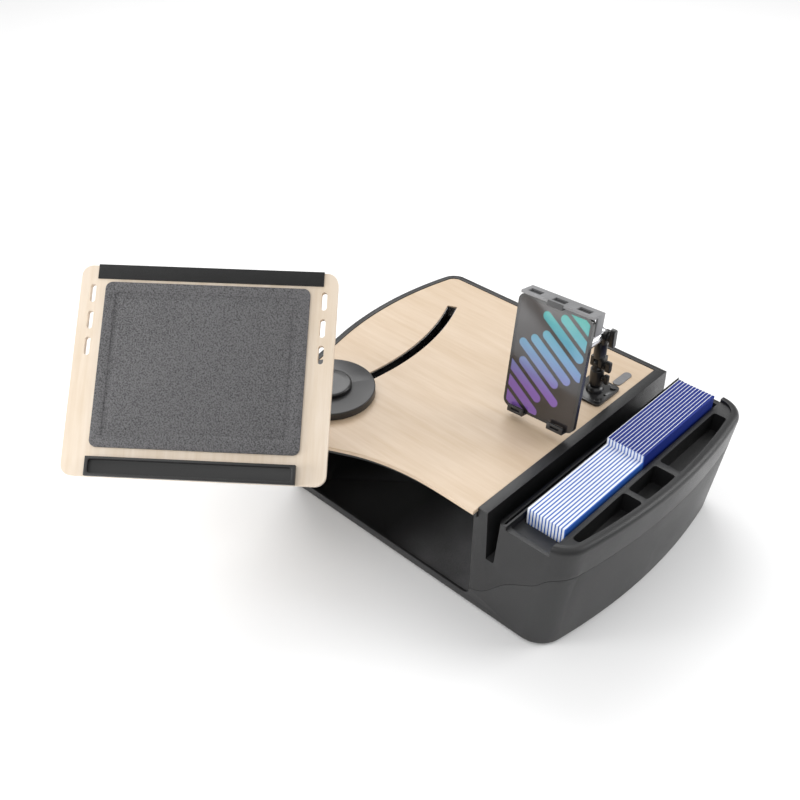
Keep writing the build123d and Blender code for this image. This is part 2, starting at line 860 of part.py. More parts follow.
# ================================================================ tilt joint
tray_turn, tilt_turn = radians(tray_azimuth), radians(tray_tilt)
tray_x = Vector(cos(tray_turn), sin(tray_turn), 0)
tray_up = Vector(-sin(tray_turn) * cos(tilt_turn), cos(tray_turn) * cos(tilt_turn), sin(tilt_turn))
tray_normal = tray_x.cross(tray_up)
hinge_point = Vector(*hinge_place, hinge_height)
tray_origin = hinge_point + tray_normal * hinge_drop
tray_plane = Plane(tray_origin, x_dir=tray_x, z_dir=tray_normal)
tray_level_dir = (-sin(tray_turn), cos(tray_turn), 0)


def across_hinge(shift):
    """Plane square to the hinge axis, at a distance along it from its middle."""
    return Plane(hinge_point + tray_x * shift, x_dir=tray_level_dir, z_dir=tray_x)


yoke_foot = hinge_height - yoke_drop
with BuildPart() as arm_post:
    with BuildSketch(Plane.XY.offset(arm_top)):
        with Locations(hinge_place):
            Circle(post_radius)
    extrude(amount=yoke_foot - arm_top)
    with BuildSketch(Plane.XY.offset(arm_top)):
        with Locations(hinge_place):
            Circle(post_flange[0])
    extrude(amount=post_flange[1])
arm_post.part.label = "arm_post"
export_step(arm_post.part, "parts/arm_post.step")

ear_inner = knuckle_half + fit_gap
ear_outer = ear_inner + ear_thickness
yoke_plane = Plane((*hinge_place, yoke_foot), x_dir=tray_x, z_dir=(0, 0, 1))
with BuildPart() as tilt_yoke:
    with BuildSketch(yoke_plane):
        Rectangle(2 * ear_outer, yoke_width)
    extrude(amount=yoke_base)
    with BuildSketch(across_hinge(-ear_outer)):
        Circle(yoke_width / 2)
        with Locations((0, -yoke_drop / 2)):
            Rectangle(yoke_width, yoke_drop)
    extrude(amount=2 * ear_outer)
    with BuildSketch(across_hinge(-ear_inner)):
        with Locations((0, (yoke_width - yoke_drop + yoke_base) / 2)):
            Rectangle(2 * yoke_width, yoke_width + yoke_drop - yoke_base)
    extrude(amount=2 * ear_inner, mode=Mode.SUBTRACT)
    with BuildSketch(across_hinge(-2 * ear_outer)):
        Circle(tray_pin_radius)
    extrude(amount=4 * ear_outer, mode=Mode.SUBTRACT)
tilt_yoke.part.label = "tilt_yoke"
export_step(tilt_yoke.part, "parts/tilt_yoke.step")

pin_end = ear_outer + grip_length - 2
with BuildPart() as tilt_pin:
    with BuildSketch(across_hinge(-ear_outer - 1)):
        Circle(tray_pin_radius)
    extrude(amount=ear_outer + 1 + pin_end)
tilt_pin.part.label = "tilt_pin"
export_step(tilt_pin.part, "parts/tilt_pin.step")

with BuildPart() as tilt_knob:
    with BuildSketch(across_hinge(ear_outer + fit_gap)):
        Circle(grip_radius)
        with PolarLocations(grip_radius + 2, 6):
            Circle(0.3 * grip_radius, mode=Mode.SUBTRACT)
        Circle(tray_pin_radius + running, mode=Mode.SUBTRACT)
    extrude(amount=grip_length)
    with BuildSketch(across_hinge(pin_end + 0.4)):
        Circle(0.6 * grip_radius)
    extrude(amount=3.5)
tilt_knob.part.label = "tilt_knob"
export_step(tilt_knob.part, "parts/tilt_knob.step")

# ================================================================ tray
tray_slot_places = [
    (side * tray_width, (row - 0.5) * tray_height)
    for side in (-slot_column, slot_column)
    for row in slot_rows
]
board_back = -tray_thickness
bracket_back = board_back - bracket_size[2]
bracket_screw_places = [
    (x, y)
    for x in (-bracket_screws[0], bracket_screws[0])
    for y in (-bracket_screws[1], bracket_screws[1])
]
board_screw_depth = 0.72 * tray_thickness


def tray_level(height):
    """Plane parallel to the tray's top face at a height above it."""
    return tray_plane.offset(height)


with BuildPart() as tray_board:
    with BuildSketch(tray_level(board_back)):
        RectangleRounded(tray_width, tray_height, tray_corner)
        with Locations(*tray_slot_places):
            SlotOverall(*slot_size, rotation=90, mode=Mode.SUBTRACT)
    extrude(amount=tray_thickness)
    with BuildSketch(tray_level(board_back)):
        with Locations(*bracket_screw_places):
            Circle(screw_radius + 2 * screw_gap)
    extrude(amount=board_screw_depth, mode=Mode.SUBTRACT)
    fillet(tray_board.faces().filter_by(tray_plane).sort_by(Axis.Z)[-1].outer_wire().edges(), tray_round)
tray_board.part.label = "tray_board"
export_step(tray_board.part, "parts/tray_board.step")

pad_width = (pad_right - pad_left) * tray_width
pad_height = (pad_high - pad_low) * tray_height
pad_middle = (tray_width * (pad_left + pad_right) / 2, tray_height * (pad_low + pad_high) / 2)
with BuildPart() as tray_pad:
    with BuildSketch(tray_level(0)):
        with Locations(pad_middle):
            RectangleRounded(pad_width, pad_height, pad_corner)
    extrude(amount=pad_thickness)
    with BuildSketch(tray_level(pad_thickness)):
        with Locations(pad_middle):
            RectangleRounded(pad_width - 2 * pad_border, pad_height - 2 * pad_border, 0.6 * pad_corner)
    extrude(amount=-pad_press, mode=Mode.SUBTRACT)
tray_pad.part.label = "tray_pad"
export_step(tray_pad.part, "parts/tray_pad.step")

strap_width = (strap_right - strap_left) * tray_width
strap_middle = tray_width * (strap_left + strap_right) / 2
strap_foot = strap_low * tray_height
strap_head = tray_height / 2 + strap_wrap
with BuildPart() as top_strap:
    with BuildSketch(tray_level(board_back - strap_wrap)):
        with Locations((strap_middle, (strap_foot + strap_head) / 2)):
            Rectangle(strap_width, strap_head - strap_foot)
    extrude(amount=tray_thickness + 2 * strap_wrap)
    with BuildSketch(tray_level(board_back)):
        with Locations((strap_middle, 0)):
            Rectangle(strap_width, tray_height)
    extrude(amount=tray_thickness, mode=Mode.SUBTRACT)
top_strap.part.label = "top_strap"
export_step(top_strap.part, "parts/top_strap.step")

ledge_length = (ledge_right - ledge_left) * tray_width
ledge_depth = (ledge_high + 0.5) * tray_height
ledge_place = (tray_width * (ledge_left + ledge_right) / 2, (ledge_depth - tray_height) / 2)
with BuildPart() as pen_ledge:
    with BuildSketch(tray_level(0)):
        with Locations(ledge_place):
            Rectangle(ledge_length, ledge_depth)
    extrude(amount=ledge_rise)
    with BuildSketch(tray_level(ledge_floor)):
        with Locations(ledge_place):
            RectangleRounded(ledge_length - 10, ledge_depth - 8, 4)
    extrude(amount=ledge_rise, mode=Mode.SUBTRACT)
pen_ledge.part.label = "pen_ledge"
export_step(pen_ledge.part, "parts/pen_ledge.step")

with BuildPart() as tray_bracket:
    with BuildSketch(tray_level(bracket_back)):
        RectangleRounded(bracket_size[0], bracket_size[1], 8)
        with Locations(*bracket_screw_places):
            Circle(screw_radius + screw_gap, mode=Mode.SUBTRACT)
    extrude(amount=bracket_size[2])
    with BuildSketch(Plane(hinge_point - tray_x * knuckle_half, x_dir=tray_up, z_dir=tray_x)):
        Circle(knuckle_radius)
        with Locations((0, (hinge_drop + board_back) / 2)):
            Rectangle(2 * knuckle_radius, hinge_drop + board_back)
        Circle(tray_pin_radius + running, mode=Mode.SUBTRACT)
    extrude(amount=2 * knuckle_half)
tray_bracket.part.label = "tray_bracket"
export_step(tray_bracket.part, "parts/tray_bracket.step")

with BuildPart() as tray_screws:
    with BuildSketch(tray_level(bracket_back)):
        with Locations(*bracket_screw_places):
            Circle(large_head[0])
    extrude(amount=-large_head[1])
    with BuildSketch(tray_level(bracket_back)):
        with Locations(*bracket_screw_places):
            Circle(screw_radius)
    extrude(amount=bracket_size[2] + board_screw_depth - 1)
tray_screws.part.label = "tray_screws"
export_step(tray_screws.part, "parts/tray_screws.step")


# ================================================================ tablet holder
plate_top = desk_top + holder_plate_thickness
post_top = plate_top + post_height
with BuildPart() as holder_base:
    with BuildSketch(Plane.XY.offset(desk_top)):
        with Locations((holder_x, holder_y)):
            RectangleRounded(*holder_plate, 8)
        with Locations(*holder_screw_places):
            Circle(holder_screw_radius + screw_gap, mode=Mode.SUBTRACT)
        with Locations((holder_x + holder_screw_x, holder_y - 2)):
            Circle(2, mode=Mode.SUBTRACT)
    extrude(amount=holder_plate_thickness)
    with BuildSketch(Plane((holder_x, holder_y, plate_top), x_dir=(1, 0, 0), z_dir=(0, -1, 0))):
        with BuildLine():
            Polyline((0, post_height), (0, 0), (14, 0), (14, 4))
            ThreePointArc((14, 4), (11.5, 8.2), (7, 10))
            Polyline((7, 10), (shaft_radius, 12), (shaft_radius, post_height), (0, post_height))
        make_face()
    revolve(axis=Axis((holder_x, holder_y, 0), (0, 0, 1)))
holder_base.part.label = "holder_base"
export_step(holder_base.part, "parts/holder_base.step")

with BuildPart() as holder_screws:
    with BuildSketch(Plane.XY.offset(plate_top)):
        with Locations(*holder_screw_places):
            Circle(5.2)
    extrude(amount=2.6)
    fillet(holder_screws.edges().group_by(Axis.Z)[-1], 1.2)
    with BuildSketch(Plane.XY.offset(plate_top)):
        with Locations(*holder_screw_places):
            Circle(holder_screw_radius)
    extrude(amount=deck_bottom - 6 - plate_top)
holder_screws.part.label = "holder_screws"
export_step(holder_screws.part, "parts/holder_screws.step")

with BuildPart() as holder_nuts:
    with BuildSketch(Plane.XY.offset(deck_bottom)):
        with Locations(*holder_screw_places):
            RegularPolygon(5.8, 6)
            Circle(holder_screw_radius + running, mode=Mode.SUBTRACT)
    extrude(amount=-5)
holder_nuts.part.label = "holder_nuts"
export_step(holder_nuts.part, "parts/holder_nuts.step")

barrel_bottom = plate_top + 13
barrel_top = mid_height - 11
side_plane = Plane((holder_x, holder_y, mid_height), x_dir=(0, 1, 0), z_dir=(1, 0, 0))
head_plane = Plane((holder_x, holder_y, head_height), x_dir=(0, 1, 0), z_dir=(1, 0, 0))
end_plane = Plane((holder_x, reach_end_y, head_height), x_dir=(0, 1, 0), z_dir=(1, 0, 0))
lower_knob_height = barrel_bottom + 15
with BuildPart() as lower_barrel:
    with BuildSketch(Plane.XY.offset(barrel_bottom)):
        with Locations((holder_x, holder_y)):
            Circle(barrel_radius)
    extrude(amount=barrel_top - barrel_bottom)
    fillet(lower_barrel.edges(), 1.5)
    with BuildSketch(side_plane.offset(-tongue_half)):
        Circle(tongue_radius)
        with Locations((0, -7)):
            Rectangle(2 * tongue_radius, 12)
    extrude(amount=2 * tongue_half)
    with BuildSketch(side_plane.offset(-tongue_half)):
        Circle(cross_pin_radius + running)
    extrude(amount=2 * tongue_half, mode=Mode.SUBTRACT)
    with BuildSketch(Plane.XY.offset(barrel_bottom)):
        with Locations((holder_x, holder_y)):
            Circle(shaft_radius + running)
    extrude(amount=post_top + 0.5 - barrel_bottom, mode=Mode.SUBTRACT)
    with BuildSketch(Plane((holder_x + 6, holder_y, lower_knob_height), z_dir=(1, 0, 0))):
        Circle(pan_shaft_radius + running)
    extrude(amount=10, mode=Mode.SUBTRACT)
lower_barrel.part.label = "lower_barrel"
export_step(lower_barrel.part, "parts/lower_barrel.step")


def wing_knob(origin, shaft, width, length, shaft_radius):
    """Clamp knob that turns about X: a shaft, a round hub and a flat wing."""
    with BuildPart() as knob:
        with BuildSketch(Plane((origin[0] - shaft, origin[1], origin[2]), z_dir=(1, 0, 0))):
            Circle(shaft_radius)
        extrude(amount=shaft)
        with BuildSketch(Plane(origin, z_dir=(1, 0, 0))):
            Circle(width / 2)
        extrude(amount=4)
        with BuildSketch(Plane((origin[0] + 4, origin[1], origin[2]), x_dir=(0, 0, 1), z_dir=(1, 0, 0))):
            SlotOverall(length, width * 0.62)
        extrude(amount=6)
        fillet(knob.faces().sort_by(Axis.X)[-1].edges(), 1)
    return knob.part


lower_knob = wing_knob(
    (holder_x + barrel_radius + fit_gap, holder_y, lower_knob_height), 4.5, 12, 18, pan_shaft_radius
)
lower_knob.label = "lower_knob"
export_step(lower_knob, "parts/lower_knob.step")

fork_inner = tongue_half + fit_gap
barrel_low = mid_height + 11
barrel_high = head_height - 12
with BuildPart() as upper_barrel:
    with BuildSketch(Plane.XY.offset(barrel_low)):
        with Locations((holder_x, holder_y)):
            Circle(fork_half)
    extrude(amount=barrel_high - barrel_low)
    with BuildSketch(side_plane.offset(-fork_half)):
        Circle(8.5)
        with Locations((0, 7)):
            Rectangle(17, 13)
    extrude(amount=2 * fork_half)
    with BuildSketch(head_plane.offset(-fork_half)):
        Circle(10)
        with Locations((0, -7)):
            Rectangle(17, 12)
    extrude(amount=2 * fork_half)
    with BuildSketch(side_plane.offset(-fork_inner)):
        with Locations((0, -2)):
            Rectangle(30, 24)
    extrude(amount=2 * fork_inner, mode=Mode.SUBTRACT)
    with BuildSketch(head_plane.offset(-fork_inner)):
        with Locations((0, 3)):
            Rectangle(30, 27)
    extrude(amount=2 * fork_inner, mode=Mode.SUBTRACT)
    for plane in (side_plane, head_plane):
        with BuildSketch(plane.offset(-30)):
            Circle(cross_pin_radius)
        extrude(amount=60, mode=Mode.SUBTRACT)
upper_barrel.part.label = "upper_barrel"
export_step(upper_barrel.part, "parts/upper_barrel.step")


def cross_pin(plane, low, high):
    """Hinge pin along X between two distances from the holder's centre plane."""
    with BuildPart() as pin:
        with BuildSketch(plane.offset(low)):
            Circle(cross_pin_radius)
        extrude(amount=high - low)
    return pin.part


mid_pin = cross_pin(side_plane, -fork_half - 1.5, fork_half + 8)
mid_pin.label = "mid_pin"
export_step(mid_pin, "parts/mid_pin.step")
head_pin = cross_pin(head_plane, -fork_half - 1.5, fork_half + 8)
head_pin.label = "head_pin"
export_step(head_pin, "parts/head_pin.step")


def pin_knob(plane, width, length):
    """Knob that threads on the free end of a cross pin."""
    with BuildPart() as knob:
        with BuildSketch(plane.offset(fork_half + fit_gap)):
            Circle(width / 2)
        extrude(amount=4)
        with BuildSketch(plane.offset(fork_half + fit_gap + 4)):
            SlotOverall(length, width * 0.66, rotation=90)
        extrude(amount=8)
        fillet(knob.faces().sort_by(Axis.X)[-1].edges(), 1.2)
        with BuildSketch(plane.offset(fork_half)):
            Circle(cross_pin_radius + running)
        extrude(amount=8.5, mode=Mode.SUBTRACT)
    return knob.part


mid_knob = pin_knob(side_plane, 13, 20)
mid_knob.label = "mid_knob"
export_step(mid_knob, "parts/mid_knob.step")
head_knob = pin_knob(head_plane, 15, 32)
head_knob.label = "head_knob"
export_step(head_knob, "parts/head_knob.step")

with BuildPart() as reach_arm:
    for plane in (head_plane, end_plane):
        with BuildSketch(plane.offset(-tongue_half)):
            Circle(tongue_radius)
        extrude(amount=2 * tongue_half)
    with BuildSketch(Plane((holder_x, holder_y - 7, head_height), x_dir=(1, 0, 0), z_dir=(0, -1, 0))):
        RectangleRounded(2 * tongue_half, 14, 2)
    extrude(amount=holder_y - reach_end_y - 14)
    with BuildSketch(Plane((holder_x, holder_y - 14, head_height), x_dir=(1, 0, 0), z_dir=(0, -1, 0))):
        Circle(8.5)
    extrude(amount=holder_y - reach_end_y - 28)
    for plane in (head_plane, end_plane):
        with BuildSketch(plane.offset(-30)):
            Circle(cross_pin_radius + running)
        extrude(amount=60, mode=Mode.SUBTRACT)
reach_arm.part.label = "reach_arm"
export_step(reach_arm.part, "parts/reach_arm.step")

# ================================================================ cradle and tablet
tablet_plane = Plane(
    (*tablet_place, desk_top + tablet_rise), x_dir=tablet_x_dir, z_dir=tablet_face_dir
)
tablet_width, tablet_height = tablet_size
cradle_front = -tablet_thickness - 1
cradle_back_face = cradle_front - plate_thickness
rod_depth = cradle_back_face - 4.5
jaw_plate_low = 26
hook_top = -tablet_height / 2 - 0.5


def along_tablet(side, up):
    """Plane square to the tablet's height, on the line of a guide rod."""
    origin = tablet_plane.from_local_coords((side, up, rod_depth))
    return Plane(origin, x_dir=tablet_plane.x_dir, z_dir=tablet_plane.y_dir)


with BuildPart() as cradle_back:
    with BuildSketch(tablet_plane.offset(cradle_back_face)):
        with BuildLine():
            Polyline(
                (-54, hook_top - 3),
                (54, hook_top - 3),
                (54, hook_top + 14),
                (30, -38),
                (30, 20),
                (-30, 20),
                (-30, -38),
                (-54, hook_top + 14),
                close=True,
            )
        make_face()
    extrude(amount=plate_thickness)
    for place in (-hook_spread, hook_spread):
        with BuildSketch(tablet_plane.offset(cradle_back_face)):
            with Locations((place, hook_top - plate_thickness / 2)):
                Rectangle(hook_width, plate_thickness)
        extrude(amount=4 + plate_thickness - cradle_back_face)
        with BuildSketch(tablet_plane.offset(4)):
            with Locations((place, hook_top + 2.5)):
                Rectangle(hook_width, 11)
                Rectangle(hook_width - 12, 3.4, mode=Mode.SUBTRACT)
        extrude(amount=plate_thickness)
    # Two guide blocks that hold the ends of the rods.
    with BuildSketch(tablet_plane.offset(cradle_back_face)):
        with Locations((0, -38), (0, 14)):
            Rectangle(58, 10)
    extrude(amount=-9)
    with BuildSketch(Plane((holder_x, 0, head_height), x_dir=(1, 0, 0), z_dir=(0, 1, 0))):
        RectangleRounded(2 * fork_half, 20, 3)
    extrude(amount=reach_end_y - 10)
    with BuildSketch(end_plane.offset(-fork_half)):
        Circle(9)
        with Locations((-8, 0)):
            Rectangle(16, 18)
    extrude(amount=2 * fork_half)
    with BuildSketch(end_plane.offset(-fork_inner)):
        with Locations((8, 0)):
            Rectangle(36, 40)
    extrude(amount=2 * fork_inner, mode=Mode.SUBTRACT)
    with BuildSketch(end_plane.offset(-30)):
        Circle(cross_pin_radius)
    extrude(amount=60, mode=Mode.SUBTRACT)
    for side in (-rod_spread, rod_spread):
        with BuildSketch(along_tablet(side, -44)):
            Circle(rod_radius)
        extrude(amount=70, mode=Mode.SUBTRACT)
cradle_back.part.label = "cradle_back"
export_step(cradle_back.part, "parts/cradle_back.step")

end_pin = cross_pin(end_plane, -fork_half - 1, fork_half + 1)
end_pin.label = "end_pin"
export_step(end_pin, "parts/end_pin.step")

with BuildPart() as guide_rods:
    for side in (-rod_spread, rod_spread):
        with BuildSketch(along_tablet(side, -43)):
            Circle(rod_radius)
        extrude(amount=rod_length)
guide_rods.part.label = "guide_rods"
export_step(guide_rods.part, "parts/guide_rods.step")

jaw_top = tablet_height / 2 + 0.5
jaw_left, jaw_right = -tablet_width / 2 + 4, tablet_width / 2 + 1
window_shift = rod_depth + 9      # along the plane's own Y, which points backwards
with BuildPart() as top_jaw:
    with BuildSketch(tablet_plane.offset(cradle_back_face)):
        with Locations((0, (jaw_plate_low + jaw_top) / 2)):
            Rectangle(jaw_width, jaw_top - jaw_plate_low)
    extrude(amount=plate_thickness)
    with BuildSketch(tablet_plane.offset(-jaw_depth)):
        with Locations(((jaw_left + jaw_right) / 2, jaw_top + 2)):
            Rectangle(jaw_right - jaw_left, 4)
    extrude(amount=jaw_depth + 2.5)
    with BuildSketch(tablet_plane.offset(0.5)):
        with Locations((0, jaw_top)):
            Rectangle(26, 8)
    extrude(amount=2.5)
    with BuildSketch(tablet_plane.offset(cradle_back_face)):
        with Locations((0, 45), (0, 84)):
            Rectangle(58, 8)
    extrude(amount=-9)
    with BuildSketch(tablet_plane.offset(-jaw_depth)):
        with Locations((jaw_right - plate_thickness / 2, jaw_top - 14)):
            Rectangle(plate_thickness, 30)
    extrude(amount=jaw_depth + cradle_front)
    for side in (-rod_spread, rod_spread):
        with BuildSketch(along_tablet(side, 20)):
            Circle(rod_radius + running)
        extrude(amount=72, mode=Mode.SUBTRACT)
    # Three windows through the bar.
    with BuildSketch(along_tablet(0, jaw_top - 1)):
        with Locations((-42, window_shift), (0, window_shift), (42, window_shift)):
            Rectangle(22, 13)
    extrude(amount=10, mode=Mode.SUBTRACT)
top_jaw.part.label = "top_jaw"
export_step(top_jaw.part, "parts/top_jaw.step")

screen_width, screen_height = tablet_width - 2 * tablet_border, tablet_height - 2 * tablet_border
screen_corner = tablet_corner - 4
with BuildPart() as tablet_shell:
    with BuildSketch(tablet_plane.offset(-tablet_thickness)):
        RectangleRounded(tablet_width, tablet_height, tablet_corner)
    extrude(amount=tablet_thickness)
    with BuildSketch(tablet_plane):
        RectangleRounded(screen_width, screen_height, screen_corner)
    extrude(amount=-1, mode=Mode.SUBTRACT)
tablet_shell.part.label = "tablet_shell"
export_step(tablet_shell.part, "parts/tablet_shell.step")

with BuildPart() as tablet_screen:
    with BuildSketch(tablet_plane.offset(-1)):
        RectangleRounded(screen_width - 0.2, screen_height - 0.2, screen_corner - 0.1)
    extrude(amount=1)
tablet_screen.part.label = "tablet_screen"
export_step(tablet_screen.part, "parts/tablet_screen.step")

with BuildPart() as jaw_pads:
    with BuildSketch(tablet_plane.offset(cradle_front)):
        with Locations((-30, hook_top + 12), (30, hook_top + 12), (0, 8)):
            RectangleRounded(24, 12, 2)
    extrude(amount=0.9)
jaw_pads.part.label = "jaw_pads"
export_step(jaw_pads.part, "parts/jaw_pads.step")

# ================================================================ files in the bay
file_bottom = tub_floor_top + wall + file_lift
file_front, file_rear = bay_front + file_gap, bay_rear - file_gap
file_first = bay_left + file_gap


def file_sheets(first, thickness, margin):
    """Upright sheets, one in each pitch, with a higher rear half."""
    low_top, high_top = console_top + file_low_rise - margin, console_top + file_high_rise - margin
    with BuildPart() as sheets:
        for index in range(file_count):
            with BuildSketch(Plane((first + index * file_pitch, 0, 0), x_dir=(0, 1, 0), z_dir=(1, 0, 0))):
                with BuildLine():
                    Polyline(
                        (file_front + margin, file_bottom),
                        (file_rear, file_bottom),
                        (file_rear, high_top),
                        (file_step_y, high_top),
                        (file_step_y, low_top),
                        (file_front + margin, low_top),
                        close=True,
                    )
                profile = make_face()
                corner = profile.vertices().group_by(Axis.Y)[0].sort_by(Axis.Z)[-1]
                fillet(corner, file_corner)
            extrude(amount=thickness)
    return sheets.part


file_covers = file_sheets(file_first + file_pitch - cover_thickness, cover_thickness, 0)
file_covers.label = "file_covers"
export_step(file_covers, "parts/file_covers.step")
file_papers = file_sheets(file_first, file_pitch - cover_thickness, paper_drop)
file_papers.label = "file_papers"
export_step(file_papers, "parts/file_papers.step")
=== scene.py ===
"""Looks of a vehicle seat desk with a pivoting writing tray and a tablet holder.

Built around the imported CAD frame, which gives every place and every moving body.
"""

import json
import math

import bmesh
import bpy
from mathutils import Matrix, Vector


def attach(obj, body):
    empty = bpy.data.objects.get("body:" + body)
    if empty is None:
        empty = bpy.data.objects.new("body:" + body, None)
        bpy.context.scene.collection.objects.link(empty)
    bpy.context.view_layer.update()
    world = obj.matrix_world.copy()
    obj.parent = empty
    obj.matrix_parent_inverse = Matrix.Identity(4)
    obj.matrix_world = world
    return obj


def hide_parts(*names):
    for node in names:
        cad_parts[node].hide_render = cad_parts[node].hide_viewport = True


bl_info = {
    "name": "Vehicle Seat Desk",
    "version": (1, 0, 0),
    "blender": (4, 5, 0),
    "location": "View3D > Sidebar > Seat Desk",
    "description": "Builds the visible pieces and finishes of a vehicle seat desk",
    "category": "Add Mesh",
}

MM = 0.001
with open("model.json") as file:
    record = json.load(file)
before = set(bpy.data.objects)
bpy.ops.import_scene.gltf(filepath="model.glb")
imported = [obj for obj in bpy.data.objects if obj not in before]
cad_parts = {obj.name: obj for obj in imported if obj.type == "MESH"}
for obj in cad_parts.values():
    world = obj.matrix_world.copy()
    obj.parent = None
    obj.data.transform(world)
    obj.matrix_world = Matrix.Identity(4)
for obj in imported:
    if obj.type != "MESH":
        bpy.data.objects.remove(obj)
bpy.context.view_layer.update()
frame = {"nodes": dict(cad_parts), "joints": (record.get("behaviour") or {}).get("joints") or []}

# Axes of the writing tray at rest, and the middle of its top face.
TRAY_AZIMUTH = math.radians(39.6)
TRAY_TILT = math.radians(41.3)
TRAY_ROTATION = Matrix.Rotation(TRAY_AZIMUTH, 4, "Z") @ Matrix.Rotation(TRAY_TILT, 4, "X")
HINGE_DROP = 30 * MM

# The jaw's three windows and the dark clip, in the tablet's own axes: places across and corners.
WINDOW_PLACES = (-42 * MM, 0, 42 * MM)
WINDOW_LOW = Vector((-10.9, 93.3, -15.4)) * MM
WINDOW_HIGH = Vector((10.9, 94.3, -2.6)) * MM
CLIP_LOW = Vector((-13.3, 88.8, 2.6)) * MM
CLIP_HIGH = Vector((13.3, 97.3, 3.4)) * MM

# The tablet's strokes: spacing and lean of the rows, then reach, shift and half width of a stroke.
STROKE_PITCH, STROKE_LEAN = 21 * MM, math.radians(35)
STROKE_REACH, STROKE_SHIFT = 38 * MM, 12 * MM
STROKE_EDGE = (6.5 * MM, 8 * MM)

# Studio lights: place, size in metres and power in watts.
LIGHTS = (
    ((-1.6, 1.2, 2.6), 2.0, 38),
    ((1.8, 1.9, 1.5), 1.6, 34),
    ((-0.6, -2.4, 2.2), 1.4, 14),
    ((-0.9, -1.5, 0.35), 0.5, 14),
)
LIGHT_AIM = Vector((0, 0, 0.15))

# Painted light in the storage: painted shade from the first place leftwards, painted light rising to the
# lightest at its right side.
PAINTED_SHADE_EDGE, STORAGE_RIGHT = -60 * MM, 130 * MM
STORAGE_REACH, STORAGE_TOP = 222 * MM, 190 * MM

# Files: how many, where their rear half steps up, and their colours.
FILE_COUNT = 12
FILE_STEP = 1.2 * MM
FILE_NAVY = (0.006, 0.022, 0.20, 1)
FILE_BLUE = (0.03, 0.12, 0.48, 1)
FILE_WHITE = (0.80, 0.83, 0.90, 1)


def joint(name):
    """The frame's joint of that name."""
    return next(item for item in frame["joints"] if item["name"] == name)


HINGE_POINT = Vector(joint("tray_tilt")["pos_m"])
TRAY_MATRIX = Matrix.Translation(HINGE_POINT) @ TRAY_ROTATION @ Matrix.Translation((0, 0, HINGE_DROP))
TABLET_X = Vector((0.9989, 0.0141, 0.0447)).normalized()
TABLET_UP = Vector(joint("jaw_slide")["axis"]).normalized()
TABLET_FACE = TABLET_X.cross(TABLET_UP)
TABLET_CENTRE = Vector((0.0885, -0.0192, 0.3086))


def axes_matrix(origin, x_axis, y_axis, z_axis):
    """Placing matrix from an origin and three axes."""
    matrix = Matrix.Identity(4)
    for column, axis in enumerate((x_axis, y_axis, z_axis)):
        for row in range(3):
            matrix[row][column] = axis[row]
    matrix.translation = origin
    return matrix


TABLET_MATRIX = axes_matrix(TABLET_CENTRE, TABLET_X, TABLET_UP, TABLET_FACE)


# ---------------------------------------------------------------- sizes and colours
class SeatDeskMouldings(bpy.types.PropertyGroup):
    """Finish of the moulded body."""

    plastic: bpy.props.FloatVectorProperty(
        name="Housing colour", description="Colour of the textured housing",
        subtype="COLOR", size=3, default=(0.011, 0.011, 0.0115), min=0, max=1)
    tub: bpy.props.FloatVectorProperty(
        name="Tub colour", description="Colour of the textured lower tub",
        subtype="COLOR", size=3, default=(0.017, 0.017, 0.0175), min=0, max=1)
    pebble: bpy.props.FloatProperty(
        name="Pebble size", description="Size of one grain of the moulded texture",
        subtype="DISTANCE", unit="LENGTH", default=0.9 * MM, min=0.2 * MM, max=5 * MM)


class SeatDeskWood(bpy.types.PropertyGroup):
    """Finish of the maple desktop and tray."""

    desk: bpy.props.FloatVectorProperty(
        name="Desktop colour", description="Colour of the desktop's maple veneer",
        subtype="COLOR", size=3, default=(0.60, 0.475, 0.35), min=0, max=1)
    tray: bpy.props.FloatVectorProperty(
        name="Tray colour", description="Colour of the tray's maple veneer",
        subtype="COLOR", size=3, default=(0.74, 0.64, 0.53), min=0, max=1)
    streak: bpy.props.FloatProperty(
        name="Streak width", description="Width of one streak of grain",
        subtype="DISTANCE", unit="LENGTH", default=7 * MM, min=1 * MM, max=40 * MM)


class SeatDeskStage(bpy.types.PropertyGroup):
    """Camera, floor and lights."""

    azimuth: bpy.props.FloatProperty(
        name="Azimuth", description="Direction that the camera looks in, turned from +Y",
        subtype="ANGLE", unit="ROTATION", default=math.radians(42.96))
    elevation: bpy.props.FloatProperty(
        name="Elevation", description="How far the camera looks down",
        subtype="ANGLE", unit="ROTATION", default=math.radians(37.31))
    roll: bpy.props.FloatProperty(
        name="Roll", description="Turn of the camera about its own line of sight",
        subtype="ANGLE", unit="ROTATION", default=math.radians(0.37))
    place: bpy.props.FloatVectorProperty(
        name="Camera place", description="Where the camera stands",
        subtype="TRANSLATION", unit="LENGTH", size=3, default=(0.7619, -1.0536, 1.1672))
    lens: bpy.props.FloatProperty(
        name="Lens", description="Focal length on a 36 mm sensor", unit="CAMERA", default=46.04)
    floor: bpy.props.FloatVectorProperty(
        name="Floor colour", description="Colour of the pale floor",
        subtype="COLOR", size=3, default=(0.92, 0.92, 0.92), min=0, max=1)


# ---------------------------------------------------------------- shader groups
def new_group(name, inputs, outputs):
    """Empty shader node group with float, colour or vector sockets."""
    group = bpy.data.node_groups.new(name, "ShaderNodeTree")
    kinds = {"float": "NodeSocketFloat", "color": "NodeSocketColor", "vector": "NodeSocketVector"}
    for label, kind, default in inputs:
        item = group.interface.new_socket(label, in_out="INPUT", socket_type=kinds[kind])
        if default is not None:
            item.default_value = default
    for label, kind in outputs:
        group.interface.new_socket(label, in_out="OUTPUT", socket_type=kinds[kind])
    source = group.nodes.new("NodeGroupInput")
    sink = group.nodes.new("NodeGroupOutput")
    return group, source, sink


